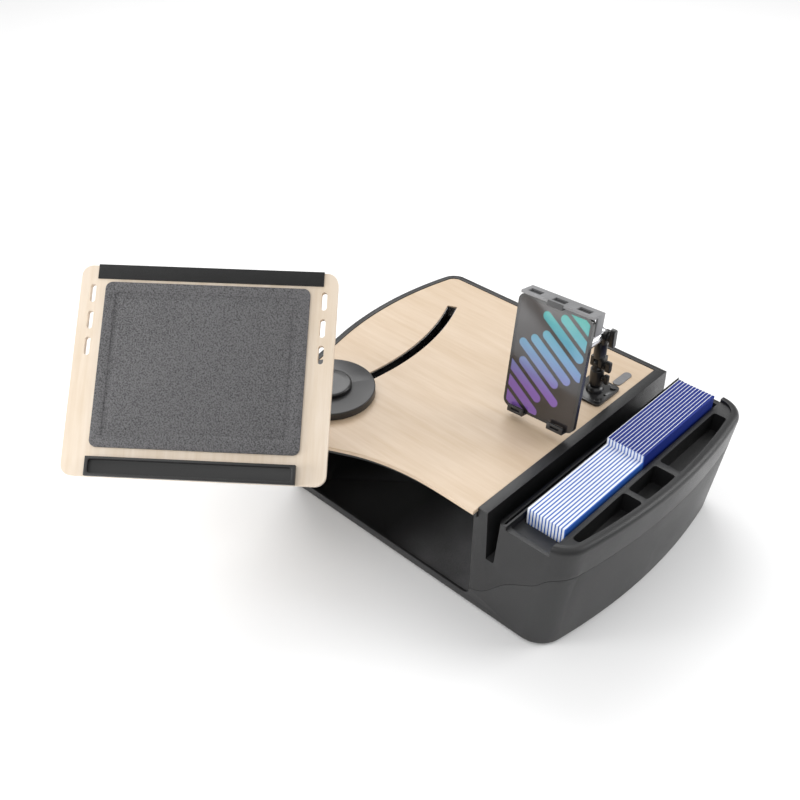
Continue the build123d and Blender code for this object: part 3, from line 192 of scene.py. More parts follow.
def math_node(tree, operation, first, second=None):
    """Math node whose inputs are sockets or numbers."""
    node = tree.nodes.new("ShaderNodeMath")
    node.operation = operation
    for index, value in enumerate((first, second)):
        if value is None:
            continue
        if hasattr(value, "links"):
            tree.links.new(value, node.inputs[index])
        else:
            node.inputs[index].default_value = value
    return node.outputs[0]


def mix_colours(tree, factor, first, second, blend="MIX"):
    """Colour mix whose inputs are sockets, colours or numbers."""
    node = tree.nodes.new("ShaderNodeMix")
    node.data_type = "RGBA"
    node.blend_type = blend
    for socket, value in ((node.inputs[0], factor), (node.inputs[6], first), (node.inputs[7], second)):
        if hasattr(value, "links"):
            tree.links.new(value, socket)
        else:
            socket.default_value = value
    return node.outputs[2]


def map_range(tree, value, low, high, to_low, to_high):
    """Map Range node from one span to another, clamped."""
    node = tree.nodes.new("ShaderNodeMapRange")
    tree.links.new(value, node.inputs["Value"])
    for label, number in zip(("From Min", "From Max", "To Min", "To Max"), (low, high, to_low, to_high)):
        node.inputs[label].default_value = number
    return node.outputs["Result"]


def noise(tree, vector, scale, detail=3.0, roughness=0.5):
    """Noise value at a place; the scale is a number or a socket."""
    node = tree.nodes.new("ShaderNodeTexNoise")
    tree.links.new(vector, node.inputs["Vector"])
    if hasattr(scale, "links"):
        tree.links.new(scale, node.inputs["Scale"])
    else:
        node.inputs["Scale"].default_value = scale
    node.inputs["Detail"].default_value = detail
    node.inputs["Roughness"].default_value = roughness
    return node.outputs["Fac"]


def build_pebble_group():
    """Moulded pebble texture: height, a colour mask and a change in roughness."""
    group, source, sink = new_group(
        "Moulded Pebble",
        [("Vector", "vector", None), ("Grain", "float", 0.001), ("Mottle", "float", 0.5)],
        [("Height", "float"), ("Mask", "float"), ("Gloss", "float")],
    )
    place = source.outputs["Vector"]
    frequency = math_node(group, "DIVIDE", 1.0, source.outputs["Grain"])
    cells = group.nodes.new("ShaderNodeTexVoronoi")
    cells.feature = "SMOOTH_F1"
    cells.inputs["Smoothness"].default_value = 0.6
    group.links.new(place, cells.inputs["Vector"])
    group.links.new(frequency, cells.inputs["Scale"])
    fine = noise(group, place, math_node(group, "MULTIPLY", frequency, 1.7), 2.0)
    height = math_node(group, "ADD", math_node(group, "MULTIPLY", cells.outputs["Distance"], -0.7), fine)
    broad = noise(group, place, 9.0, 4.0)
    speckle = noise(group, place, math_node(group, "MULTIPLY", frequency, 0.8), 1.0)
    calm = math_node(group, "SUBTRACT", 1.0, math_node(group, "MULTIPLY", source.outputs["Mottle"], 0.65))
    mask = math_node(group, "ADD", math_node(group, "MULTIPLY", speckle, source.outputs["Mottle"]),
                     math_node(group, "MULTIPLY", broad, calm))
    group.links.new(height, sink.inputs["Height"])
    group.links.new(map_range(group, mask, 0.35, 0.85, 0.0, 1.0), sink.inputs["Mask"])
    group.links.new(map_range(group, broad, 0.3, 0.7, -0.05, 0.07), sink.inputs["Gloss"])
    return group


def build_maple_group():
    """Maple grain along local X: pale streaks, soft figure and short dark flecks."""
    group, source, sink = new_group(
        "Maple Grain",
        [("Vector", "vector", None), ("Streak", "float", 0.007), ("Light", "color", (1, 1, 1, 1)),
         ("Dark", "color", (0.5, 0.4, 0.3, 1))],
        [("Color", "color"), ("Height", "float"), ("Gloss", "float")],
    )

    def stretched(along, across):
        mapping = group.nodes.new("ShaderNodeMapping")
        mapping.inputs["Scale"].default_value = (along, across, across)
        group.links.new(source.outputs["Vector"], mapping.inputs["Vector"])
        return mapping.outputs["Vector"]

    frequency = math_node(group, "DIVIDE", 1.0, source.outputs["Streak"])
    streaks = noise(group, stretched(0.07, 1.0), frequency, 5.0, 0.62)
    bands = noise(group, stretched(0.16, 1.0), math_node(group, "MULTIPLY", frequency, 0.22), 2.0)
    flecks = noise(group, stretched(0.09, 1.0), math_node(group, "MULTIPLY", frequency, 4.2), 2.0, 0.7)
    figure = noise(group, stretched(1.0, 0.35), 26.0, 2.0)
    body = math_node(group, "ADD", math_node(group, "MULTIPLY", streaks, 0.55),
                     math_node(group, "MULTIPLY", bands, 0.45))
    mask = map_range(group, body, 0.36, 0.66, 0.0, 1.0)
    fleck_mask = map_range(group, flecks, 0.60, 0.76, 0.0, 0.35)
    figure_mask = map_range(group, figure, 0.45, 0.75, 0.0, 0.18)
    colour = mix_colours(group, mask, source.outputs["Dark"], source.outputs["Light"])
    colour = mix_colours(group, figure_mask, colour, source.outputs["Light"])
    colour = mix_colours(group, fleck_mask, colour, source.outputs["Dark"])
    group.links.new(colour, sink.inputs["Color"])
    group.links.new(math_node(group, "SUBTRACT", streaks, fleck_mask), sink.inputs["Height"])
    group.links.new(map_range(group, body, 0.3, 0.7, 0.05, -0.05), sink.inputs["Gloss"])
    return group


def build_brushed_group():
    """Fine machining lines along local X with soft smudges."""
    group, source, sink = new_group(
        "Machined Metal", [("Vector", "vector", None), ("Lines", "float", 900.0)],
        [("Height", "float"), ("Gloss", "float"), ("Mask", "float")],
    )
    mapping = group.nodes.new("ShaderNodeMapping")
    mapping.inputs["Scale"].default_value = (0.04, 1.0, 1.0)
    group.links.new(source.outputs["Vector"], mapping.inputs["Vector"])
    lines = noise(group, mapping.outputs["Vector"], source.outputs["Lines"], 3.0)
    smudge = noise(group, source.outputs["Vector"], 45.0, 4.0)
    group.links.new(lines, sink.inputs["Height"])
    group.links.new(map_range(group, smudge, 0.35, 0.7, -0.06, 0.1), sink.inputs["Gloss"])
    group.links.new(map_range(group, lines, 0.3, 0.7, 0.0, 1.0), sink.inputs["Mask"])
    return group


def build_weave_group():
    """Plain weave in local X and Y: over and under threads; its mask follows the thread height and is used
    for painted light.
    """
    group, source, sink = new_group(
        "Plain Weave", [("Vector", "vector", None), ("Thread", "float", 0.0008)],
        [("Height", "float"), ("Mask", "float")],
    )
    split = group.nodes.new("ShaderNodeSeparateXYZ")
    group.links.new(source.outputs["Vector"], split.inputs[0])
    turn = math_node(group, "DIVIDE", math.pi, source.outputs["Thread"])
    wave_x = math_node(group, "SINE", math_node(group, "MULTIPLY", split.outputs["X"], turn))
    wave_y = math_node(group, "SINE", math_node(group, "MULTIPLY", split.outputs["Y"], turn))
    height = math_node(group, "ABSOLUTE", math_node(group, "MULTIPLY", wave_x, wave_y))
    fuzz = noise(group, source.outputs["Vector"], 2500.0, 2.0)
    fuzzy = math_node(group, "ADD", height, math_node(group, "MULTIPLY", fuzz, 0.4))
    group.links.new(fuzzy, sink.inputs["Height"])
    # The mask is the thread height, which the strap uses for painted highlight and painted shade.
    group.links.new(map_range(group, height, 0.0, 1.0, 0.0, 1.0), sink.inputs["Mask"])
    return group


def group_named(name):
    """The shader group of that name, built the first time it is asked for."""
    makers = {
        "Moulded Pebble": build_pebble_group,
        "Maple Grain": build_maple_group,
        "Machined Metal": build_brushed_group,
        "Plain Weave": build_weave_group,
    }
    return bpy.data.node_groups.get(name) or makers[name]()


# ---------------------------------------------------------------- materials
def shader_start(name, roughness, metallic=0.0, coat=0.0, specular=0.5):
    """New material with a Principled shader; returns it, its tree and the shader."""
    material = bpy.data.materials.new(name)
    material.use_nodes = True
    tree = material.node_tree
    shader = tree.nodes["Principled BSDF"]
    shader.inputs["Roughness"].default_value = roughness
    shader.inputs["Metallic"].default_value = metallic
    shader.inputs["Coat Weight"].default_value = coat
    shader.inputs["Coat Roughness"].default_value = 0.12
    shader.inputs["Specular IOR Level"].default_value = specular
    return material, tree, shader


def local_vector(tree, matrix=None):
    """Object coordinates, turned into a piece's own axes where a matrix is given."""
    coordinates = tree.nodes.new("ShaderNodeTexCoord")
    if matrix is None:
        return coordinates.outputs["Object"]
    inverse = matrix.inverted()
    mapping = tree.nodes.new("ShaderNodeMapping")
    mapping.inputs["Rotation"].default_value = inverse.to_euler()
    mapping.inputs["Location"].default_value = inverse.translation
    tree.links.new(coordinates.outputs["Object"], mapping.inputs["Vector"])
    return mapping.outputs["Vector"]


def place_group(tree, name, vector, **values):
    """Group node fed with a vector and the named values."""
    node = tree.nodes.new("ShaderNodeGroup")
    node.node_tree = group_named(name)
    tree.links.new(vector, node.inputs["Vector"])
    for label, value in values.items():
        node.inputs[label].default_value = value
    return node


def feed_bump(tree, shader, height, strength, distance):
    """Bump node from a height to the shader's normal."""
    bump = tree.nodes.new("ShaderNodeBump")
    bump.inputs["Strength"].default_value = strength
    bump.inputs["Distance"].default_value = distance
    tree.links.new(height, bump.inputs["Height"])
    tree.links.new(bump.outputs["Normal"], shader.inputs["Normal"])


def shade(colour, amount):
    """Colour with alpha, made lighter or darker by a factor."""
    return tuple(min(1.0, channel * amount) for channel in tuple(colour)[:3]) + (1.0,)


def painted_storage_light_mask(tree, vector):
    """Mask of painted light: rises from nought to one towards the storage's right side, and is nought
    outside it.
    """
    split = tree.nodes.new("ShaderNodeSeparateXYZ")
    tree.links.new(vector, split.inputs[0])
    mask = map_range(tree, split.outputs["X"], PAINTED_SHADE_EDGE, STORAGE_RIGHT, 0.0, 1.0)
    for label, limit in (("X", STORAGE_RIGHT + 15 * MM), ("Y", STORAGE_REACH), ("Z", STORAGE_TOP)):
        inside = math_node(tree, "LESS_THAN", math_node(tree, "ABSOLUTE", split.outputs[label]), limit)
        mask = math_node(tree, "MULTIPLY", mask, inside)
    return mask


def moulded_plastic(name, colour, grain, roughness=0.5, bump=0.35, spread=1.5, specular=0.5, mottle=0.5,
                    painted_light_gain=0):
    """Textured injection-moulded plastic; the last argument sets how much lighter painted light makes the
    storage's right side.
    """
    material, tree, shader = shader_start(name, roughness, specular=specular)
    pebble = place_group(tree, "Moulded Pebble", local_vector(tree), Grain=grain, Mottle=mottle)
    mixed = mix_colours(tree, pebble.outputs["Mask"], shade(colour, 1 / spread), shade(colour, spread))
    # Painted light: the storage is painted lighter towards its right side and darker leftwards, standing
    # for light falling into it.
    if painted_light_gain:
        painted_light_colour = mix_colours(tree, pebble.outputs["Mask"], shade(colour, painted_light_gain / 2), shade(colour, painted_light_gain * 2))
        mixed = mix_colours(tree, painted_storage_light_mask(tree, local_vector(tree)), mixed, painted_light_colour)
    tree.links.new(mixed, shader.inputs["Base Color"])
    tree.links.new(math_node(tree, "ADD", pebble.outputs["Gloss"], roughness), shader.inputs["Roughness"])
    feed_bump(tree, shader, pebble.outputs["Height"], bump, grain * 0.4)
    return material


def maple(name, colour, streak, matrix=None):
    """Clear-coated maple veneer with its grain along local X."""
    material, tree, shader = shader_start(name, 0.42, coat=0.15)
    shader.inputs["Coat Roughness"].default_value = 0.3
    dark = (colour[0] * 0.93, colour[1] * 0.88, colour[2] * 0.8, 1)
    grain = place_group(tree, "Maple Grain", local_vector(tree, matrix), Streak=streak,
                        Light=shade(colour, 1.06), Dark=dark)
    tree.links.new(grain.outputs["Color"], shader.inputs["Base Color"])
    tree.links.new(math_node(tree, "ADD", grain.outputs["Gloss"], 0.42), shader.inputs["Roughness"])
    feed_bump(tree, shader, grain.outputs["Height"], 0.12, 0.0002)
    return material


def machined(name, colour, roughness=0.3, metallic=1.0, matrix=None):
    """Bare or painted metal with fine lines and smudges."""
    material, tree, shader = shader_start(name, roughness, metallic)
    lines = place_group(tree, "Machined Metal", local_vector(tree, matrix))
    mixed = mix_colours(tree, lines.outputs["Mask"], shade(colour, 0.88), shade(colour, 1.1))
    tree.links.new(mixed, shader.inputs["Base Color"])
    tree.links.new(math_node(tree, "ADD", lines.outputs["Gloss"], roughness), shader.inputs["Roughness"])
    feed_bump(tree, shader, lines.outputs["Height"], 0.06, 0.0001)
    return material


def smooth_gloss(name, colour, roughness=0.12):
    """Polished moulding with faint dust."""
    material, tree, shader = shader_start(name, roughness, coat=0.25)
    vector = local_vector(tree)
    dust = noise(tree, vector, 420.0, 4.0, 0.7)
    mask = map_range(tree, dust, 0.58, 0.8, 0.0, 0.12)
    mixed = mix_colours(tree, mask, shade(colour, 1.0), shade(colour, 2.0))
    tree.links.new(mixed, shader.inputs["Base Color"])
    dulled = map_range(tree, dust, 0.4, 0.75, roughness, roughness + 0.05)
    tree.links.new(dulled, shader.inputs["Roughness"])
    return material


def woven(name, colour, thread, matrix):
    """Woven elastic, with painted highlight on the thread crowns and painted shade in the gaps between
    them.
    """
    material, tree, shader = shader_start(name, 0.85, specular=0.25)
    shader.inputs["Sheen Weight"].default_value = 0.15
    weave = place_group(tree, "Plain Weave", local_vector(tree, matrix), Thread=thread)
    # Painted light: the weave's height paints the crowns lighter and the gaps darker.
    mixed = mix_colours(tree, weave.outputs["Mask"], shade(colour, 0.4), shade(colour, 1.8))
    tree.links.new(mixed, shader.inputs["Base Color"])
    feed_bump(tree, shader, weave.outputs["Height"], 0.7, thread * 0.5)
    return material


def set_material(name, material):
    """Gives a CAD node, or a new piece, one material."""
    target = frame["nodes"].get(name) or bpy.data.objects[name]
    target.data.materials.clear()
    target.data.materials.append(material)


# ---------------------------------------------------------------- modelling helpers
def only(piece):
    """Makes one piece the only selected and active object."""
    bpy.ops.object.select_all(action="DESELECT")
    piece.select_set(True)
    bpy.context.view_layer.objects.active = piece


def named(name):
    """Names the object that was just added, and makes it the only selected one."""
    piece = bpy.context.view_layer.objects.active
    piece.name = name
    piece.data.name = name
    only(piece)
    return piece


def add_block(name, low, high):
    """Box primitive between two corners, with its size applied."""
    bpy.ops.object.select_all(action="DESELECT")
    size = [top - bottom for bottom, top in zip(low, high)]
    middle = [(top + bottom) / 2 for bottom, top in zip(low, high)]
    bpy.ops.mesh.primitive_cube_add(size=1, location=middle, scale=size)
    piece = named(name)
    bpy.ops.object.transform_apply(location=True, rotation=True, scale=True)
    return piece


def modify(piece, kind, **values):
    """Adds a modifier with the given values and applies it."""
    only(piece)
    modifier = piece.modifiers.new(kind.title(), kind)
    for label, value in values.items():
        setattr(modifier, label, value)
    bpy.ops.object.modifier_apply(modifier=modifier.name)


def bevel(piece, width, segments=3, angle=30):
    """Rounds the piece's sharp edges."""
    modify(piece, "BEVEL", width=width, segments=segments, limit_method="ANGLE",
           angle_limit=math.radians(angle), harden_normals=False, use_clamp_overlap=True)


def smooth(piece, angle=35):
    """Smooth shading with sharp edges above an angle."""
    only(piece)
    bpy.ops.object.shade_smooth_by_angle(angle=math.radians(angle))


def settle(piece, matrix=None):
    """Moves a piece's mesh to its place, with its object left at the origin."""
    only(piece)
    if matrix is not None:
        piece.matrix_world = matrix
    bpy.ops.object.transform_apply(location=True, rotation=True, scale=True)


def combine(piece, tool, operation):
    """Boolean of two solids; the tool is used up."""
    modify(piece, "BOOLEAN", object=tool, operation=operation, solver="EXACT")
    bpy.data.objects.remove(tool, do_unlink=True)
    only(piece)


def cut_away(piece, tool):
    """Cuts a solid out of a piece."""
    combine(piece, tool, "DIFFERENCE")


def join_solid(piece, tool):
    """Joins a solid to a piece."""
    combine(piece, tool, "UNION")


def choose_edges(piece, test):
    """Selects the edges whose two ends pass a test, in edit mode."""
    only(piece)
    bpy.ops.object.mode_set(mode="EDIT")
    bpy.ops.mesh.select_mode(type="EDGE")
    bpy.ops.mesh.select_all(action="DESELECT")
    mesh = bmesh.from_edit_mesh(piece.data)
    for edge in mesh.edges:
        edge.select = test(edge.verts[0].co, edge.verts[1].co)
    mesh.select_flush_mode()
    bmesh.update_edit_mesh(piece.data)


def leave_edit():
    """Back to object mode."""
    bpy.ops.object.mode_set(mode="OBJECT")


def round_corners(piece, radius, segments=8, axis=2):
    """Rounds the edges that run along one local axis."""
    def along(first, second):
        gap = second - first
        return abs(gap[axis]) > 0.9 * gap.length

    choose_edges(piece, along)
    bpy.ops.mesh.bevel(offset=radius, segments=segments, affect="EDGES")
    leave_edit()


def softened(node, name, width, segments=2, angle=25):
    """Copy of a CAD node with its faces merged and its sharp edges rounded, standing for it."""
    source = frame["nodes"][node]
    only(source)
    bpy.ops.object.duplicate()
    piece = named(name)
    piece.hide_render = False
    bpy.ops.object.mode_set(mode="EDIT")
    bpy.ops.mesh.select_all(action="SELECT")
    bpy.ops.mesh.remove_doubles(threshold=0.00002)
    bpy.ops.mesh.dissolve_limited(angle_limit=math.radians(1.0))
    leave_edit()
    if piece.data.has_custom_normals:
        bpy.ops.mesh.customdata_custom_splitnormals_clear()
    if width:
        bevel(piece, width, segments, angle)
    smooth(piece, 30)
    return piece


def finish_piece(piece, body, material, slot, *nodes):
    """Gives a piece its finish, its body and the CAD nodes that it stands for."""
    piece.data.materials.clear()
    piece.data.materials.append(material)
    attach(piece, body)
    if nodes:
        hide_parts(*nodes)


# ---------------------------------------------------------------- operators
class SEATDESK_OT_mouldings(bpy.types.Operator):
    """Housing, tub, deck and feet."""

    bl_idname = "seatdesk.mouldings"
    bl_label = "Mouldings"

    def execute(self, context):
        look = context.scene.seat_desk_mouldings
        housing = softened("upper_housing", "console_housing", 1.2 * MM, 3)
        # Housing and tub both get painted light in the storage.
        finish_piece(housing, "base",
                     moulded_plastic("Housing Plastic", look.plastic, look.pebble, 0.34, 0.5, painted_light_gain=16),
                     "housing", "upper_housing")
        tub = softened("lower_tub", "storage_tub", 1.0 * MM, 2)
        finish_piece(tub, "base", moulded_plastic("Tub Plastic", look.tub, look.pebble, 0.38, 0.5, painted_light_gain=12),
                     "tub", "lower_tub")
        laminate = moulded_plastic("Deck Laminate", (0.012, 0.012, 0.012), 0.6 * MM, 0.6, 0.1)
        set_material("support_deck", laminate)
        rubber = moulded_plastic("Foot Rubber", (0.02, 0.02, 0.02), 0.5 * MM, 0.8, 0.2)
        set_material("rubber_feet", rubber)
        return {"FINISHED"}


class SEATDESK_OT_desktop(bpy.types.Operator):
    """Maple desktop, slot track and badge."""

    bl_idname = "seatdesk.desktop"
    bl_label = "Desktop"

    def execute(self, context):
        wood = context.scene.seat_desk_wood
        set_material("desktop_panel", maple("Desktop Maple", wood.desk, wood.streak))
        set_material("slot_track", machined("Track Steel", (0.22, 0.22, 0.225), 0.25))
        set_material("badge_plate", machined("Badge Metal", (0.20, 0.20, 0.205), 0.45, 0.5))
        steel = machined("Bright Steel", (0.5, 0.5, 0.52), 0.25)
        for node in ("deck_screws", "track_screws", "housing_screws", "arm_screws", "tray_screws",
                     "pivot_bolt", "holder_nuts", "tilt_pin", "guide_rods", "end_pin"):
            set_material(node, steel)
        nylon = moulded_plastic("Glide Nylon", (0.55, 0.55, 0.52), 0.5 * MM, 0.5, 0.05)
        set_material("track_shoe", nylon)
        set_material("glide_washer", nylon)
        return {"FINISHED"}


class SEATDESK_OT_disc(bpy.types.Operator):
    """Turning disc with its domed clamp button."""

    bl_idname = "seatdesk.disc"
    bl_label = "Turning Disc"

    def execute(self, context):
        disc = softened("swivel_disc", "turning_disc", 0.5 * MM, 2)
        satin = moulded_plastic("Disc Satin", (0.026, 0.026, 0.027), 0.35 * MM, 0.34, 0.05)
        finish_piece(disc, "swivel", satin, "disc", "swivel_disc")
        button = softened("swivel_knob", "disc_button", 0.4 * MM, 2)
        gloss = smooth_gloss("Button Gloss", (0.008, 0.008, 0.008), 0.3)
        finish_piece(button, "disc_knob", gloss, "knob", "swivel_knob")
        paint = machined("Black Painted Steel", (0.025, 0.025, 0.026), 0.35, 0.3)
        for node in ("swing_arm", "arm_post", "tilt_yoke", "tray_bracket"):
            set_material(node, paint)
        set_material("tilt_knob", smooth_gloss("Knob Gloss", (0.02, 0.02, 0.02)))
        return {"FINISHED"}


class SEATDESK_OT_tray(bpy.types.Operator):
    """Writing tray: maple board, pebbled pad, elastic strap and pen trough."""

    bl_idname = "seatdesk.tray"
    bl_label = "Writing Tray"

    def execute(self, context):
        wood = context.scene.seat_desk_wood
        turned = TRAY_MATRIX @ Matrix.Rotation(math.radians(90), 4, "Z")
        set_material("tray_board", maple("Tray Maple", wood.tray, wood.streak, turned))
        self.pad()
        self.strap()
        self.trough()
        return {"FINISHED"}

    def local_box(self, node):
        """Corners of a CAD node in the tray's own axes."""
        inverse = TRAY_MATRIX.inverted()
        places = [inverse @ vertex.co for vertex in frame["nodes"][node].data.vertices]
        low = [min(place[axis] for place in places) for axis in range(3)]
        high = [max(place[axis] for place in places) for axis in range(3)]
        return low, high

    def pad(self):
        """Non-slip pad: a rounded slab with a pressed field and a raised middle."""
        low, high = self.local_box("tray_pad")
        pad = add_block("writing_pad", (low[0], low[1], 0), high)
        round_corners(pad, 10 * MM, 10)
        border, groove, press = 15 * MM, 9 * MM, 0.9 * MM
        field = add_block("pad_field", (low[0] + border, low[1] + border, high[2] - press),
                          (high[0] - border, high[1] - border, high[2] + press))
        round_corners(field, 6 * MM, 8)
        cut_away(pad, field)
        inner = border + groove
        middle = add_block("pad_middle", (low[0] + inner, low[1] + inner, high[2] - 2 * press),
                           (high[0] - inner, high[1] - inner, high[2] - 0.2 * press))
        round_corners(middle, 4 * MM, 6)
        join_solid(pad, middle)
        bevel(pad, 0.35 * MM, 3, 40)
        smooth(pad, 50)
        settle(pad, TRAY_MATRIX)
        rubber = moulded_plastic("Pad Rubber", (0.066, 0.065, 0.067), 1.7 * MM, 0.70, 0.9, 2.2, 0.3, 1.2)
        finish_piece(pad, "tray", rubber, "pad", "tray_pad")

    def strap(self):
        """Elastic strap folded over the tray's top edge."""
        strap = softened("top_strap", "elastic_strap", 0.6 * MM, 3)
        weave = woven("Elastic Weave", (0.018, 0.018, 0.018), 1.1 * MM, TRAY_MATRIX)
        finish_piece(strap, "tray", weave, "strap", "top_strap")

    def trough(self):
        """Moulded pen trough along the tray's foot."""
        trough = softened("pen_ledge", "pen_trough", 0.8 * MM, 3)
        plastic = moulded_plastic("Trough Plastic", (0.013, 0.013, 0.013), 0.6 * MM, 0.42, 0.15)
        finish_piece(trough, "tray", plastic, "ledge", "pen_ledge")


class SEATDESK_OT_holder(bpy.types.Operator):
    """Tablet holder: base, barrels, knobs, cradle and jaw."""

    bl_idname = "seatdesk.holder"
    bl_label = "Tablet Holder"

    def execute(self, context):
        black = smooth_gloss("Holder Black", (0.014, 0.014, 0.014), 0.3)
        satin = moulded_plastic("Cradle Plastic", (0.022, 0.022, 0.023), 0.4 * MM, 0.42, 0.08)
        grey = moulded_plastic("Jaw Plastic", (0.21, 0.21, 0.215), 0.4 * MM, 0.45, 0.06)
        rows = [
            ("holder_base", "holder_mount", "base", black, "black_steel", 0.5),
            ("lower_barrel", "barrel_lower", "holder_lower", black, "black_steel", 0.4),
            ("upper_barrel", "barrel_upper", "holder_upper", black, "black_steel", 0.8),
            ("lower_knob", "pan_wing", "pan_knob", black, "knob", 0.5),
            ("mid_knob", "fold_wing", "fold_knob", black, "knob", 0.5),
            ("head_knob", "head_wing", "tilt_lock_knob", black, "knob", 0.6),
            ("cradle_back", "cradle_frame", "cradle", satin, "cradle", 0.6),
            ("top_jaw", "sliding_jaw", "jaw", grey, "jaw", 0.6),
        ]
        for node, name, body, material, slot, width in rows:
            finish_piece(softened(node, name, width * MM, 2), body, material, slot, node)
        self.window_floors(satin)
        steel = machined("Holder Steel", (0.6, 0.6, 0.62), 0.2)
        for node in ("mid_pin", "head_pin", "reach_arm"):
            set_material(node, steel)
        set_material("holder_screws", black)
        set_material("jaw_pads", moulded_plastic("Jaw Pad Rubber", (0.02, 0.02, 0.02), 0.5 * MM, 0.8, 0.2))
        return {"FINISHED"}

    def window_floors(self, material):
        """Dark floors low in the jaw bar's three windows, and the dark clip before them."""
        for number, side in enumerate(WINDOW_PLACES, 1):
            shift = Vector((side, 0, 0))
            floor = add_block(f"window_floor_{number}", WINDOW_LOW + shift, WINDOW_HIGH + shift)
            settle(floor, TABLET_MATRIX)
            finish_piece(floor, "jaw", material, "jaw")
        clip = add_block("jaw_clip", CLIP_LOW, CLIP_HIGH)
        settle(clip, TABLET_MATRIX)
        finish_piece(clip, "jaw", material, "jaw")


class SEATDESK_OT_tablet(bpy.types.Operator):
    """Plain tablet that stands for the user's own."""

    bl_idname = "seatdesk.tablet"
    bl_label = "Tablet"

    def execute(self, context):
        set_material("tablet_shell", smooth_gloss("Tablet Case", (0.03, 0.03, 0.03)))
        set_material("tablet_screen", self.screen())
        return {"FINISHED"}

    def screen(self):
        """Dark glass with a few plain slanted strokes of colour."""
        material, tree, shader = shader_start("Tablet Screen", 0.08, coat=0.5)
        split = tree.nodes.new("ShaderNodeSeparateXYZ")
        tree.links.new(local_vector(tree, TABLET_MATRIX), split.inputs[0])
        side, up = split.outputs["X"], split.outputs["Y"]
        height = map_range(tree, up, -0.05, 0.085, 0.0, 1.0)
        ramp = tree.nodes.new("ShaderNodeValToRGB")
        ramp.color_ramp.elements[0].color = (0.22, 0.11, 0.42, 1)
        ramp.color_ramp.elements[1].color = (0.03, 0.34, 0.30, 1)
        middle = ramp.color_ramp.elements.new(0.5)
        middle.color = (0.12, 0.28, 0.46, 1)
        tree.links.new(height, ramp.inputs["Fac"])
        glass = (0.030, 0.026, 0.026, 1)
        colour = mix_colours(tree, self.strokes(tree, side, up), glass, ramp.outputs["Color"])
        tree.links.new(colour, shader.inputs["Base Color"])
        return material

    def strokes(self, tree, side, up):
        """Mask of round-ended strokes, one in each slanted row, of uneven lengths."""
        cosine, sine = math.cos(STROKE_LEAN), math.sin(STROKE_LEAN)
        along = math_node(tree, "SUBTRACT", math_node(tree, "MULTIPLY", side, cosine),
                          math_node(tree, "MULTIPLY", up, sine))
        across = math_node(tree, "ADD", math_node(tree, "MULTIPLY", side, sine),
                           math_node(tree, "MULTIPLY", up, cosine))
        rows = math_node(tree, "DIVIDE", across, STROKE_PITCH)
        row = math_node(tree, "FLOOR", rows)
        middle = math_node(tree, "SUBTRACT", math_node(tree, "SUBTRACT", rows, row), 0.5)
        offset = math_node(tree, "MULTIPLY", middle, STROKE_PITCH)
        wave = math_node(tree, "SINE", math_node(tree, "MULTIPLY", row, 2.4))
        shift = math_node(tree, "MULTIPLY", wave, STROKE_SHIFT)
        reach = math_node(tree, "ABSOLUTE", math_node(tree, "SUBTRACT", along, shift))
        past = math_node(tree, "MAXIMUM", math_node(tree, "SUBTRACT", reach, STROKE_REACH), 0.0)
        squares = math_node(tree, "ADD", math_node(tree, "MULTIPLY", past, past),
                            math_node(tree, "MULTIPLY", offset, offset))
        return map_range(tree, math_node(tree, "SQRT", squares), *STROKE_EDGE, 1.0, 0.0)


class SEATDESK_OT_files(bpy.types.Operator):
    """Twelve files in the bay: blue covers and white sheets."""

    bl_idname = "seatdesk.files"
    bl_label = "Files"

    def execute(self, context):
        left = min(vertex.co.x for vertex in frame["nodes"]["file_papers"].data.vertices)
        right = max(vertex.co.x for vertex in frame["nodes"]["file_covers"].data.vertices)
        pitch = (right - left) / FILE_COUNT
        covers = softened("file_covers", "blue_covers", 0.25 * MM, 2)
        finish_piece(covers, "files", self.board("Cover Board", left, pitch), "cover", "file_covers")
        papers = softened("file_papers", "white_sheets", 0.25 * MM, 2)
        finish_piece(papers, "files", self.board("Paper Board", left, pitch), "paper", "file_papers")
        return {"FINISHED"}

    def board(self, name, left, pitch):
        """Blue board with white lines behind the step, white board with blue lines before it."""
        material, tree, shader = shader_start(name, 0.55, specular=0.3)
        split = tree.nodes.new("ShaderNodeSeparateXYZ")
        tree.links.new(local_vector(tree), split.inputs[0])
        past_edge = math_node(tree, "SUBTRACT", split.outputs["X"], left + 0.05 * MM)
        share = math_node(tree, "FRACT", math_node(tree, "DIVIDE", past_edge, pitch))
        white_line = math_node(tree, "LESS_THAN", share, 0.2)
        blue_line = math_node(tree, "GREATER_THAN", share, 0.68)
        rear = mix_colours(tree, white_line, FILE_NAVY, FILE_WHITE)
        front = mix_colours(tree, blue_line, FILE_WHITE, FILE_BLUE)
        behind = math_node(tree, "GREATER_THAN", split.outputs["Y"], FILE_STEP)
        tree.links.new(mix_colours(tree, behind, front, rear), shader.inputs["Base Color"])
        return material


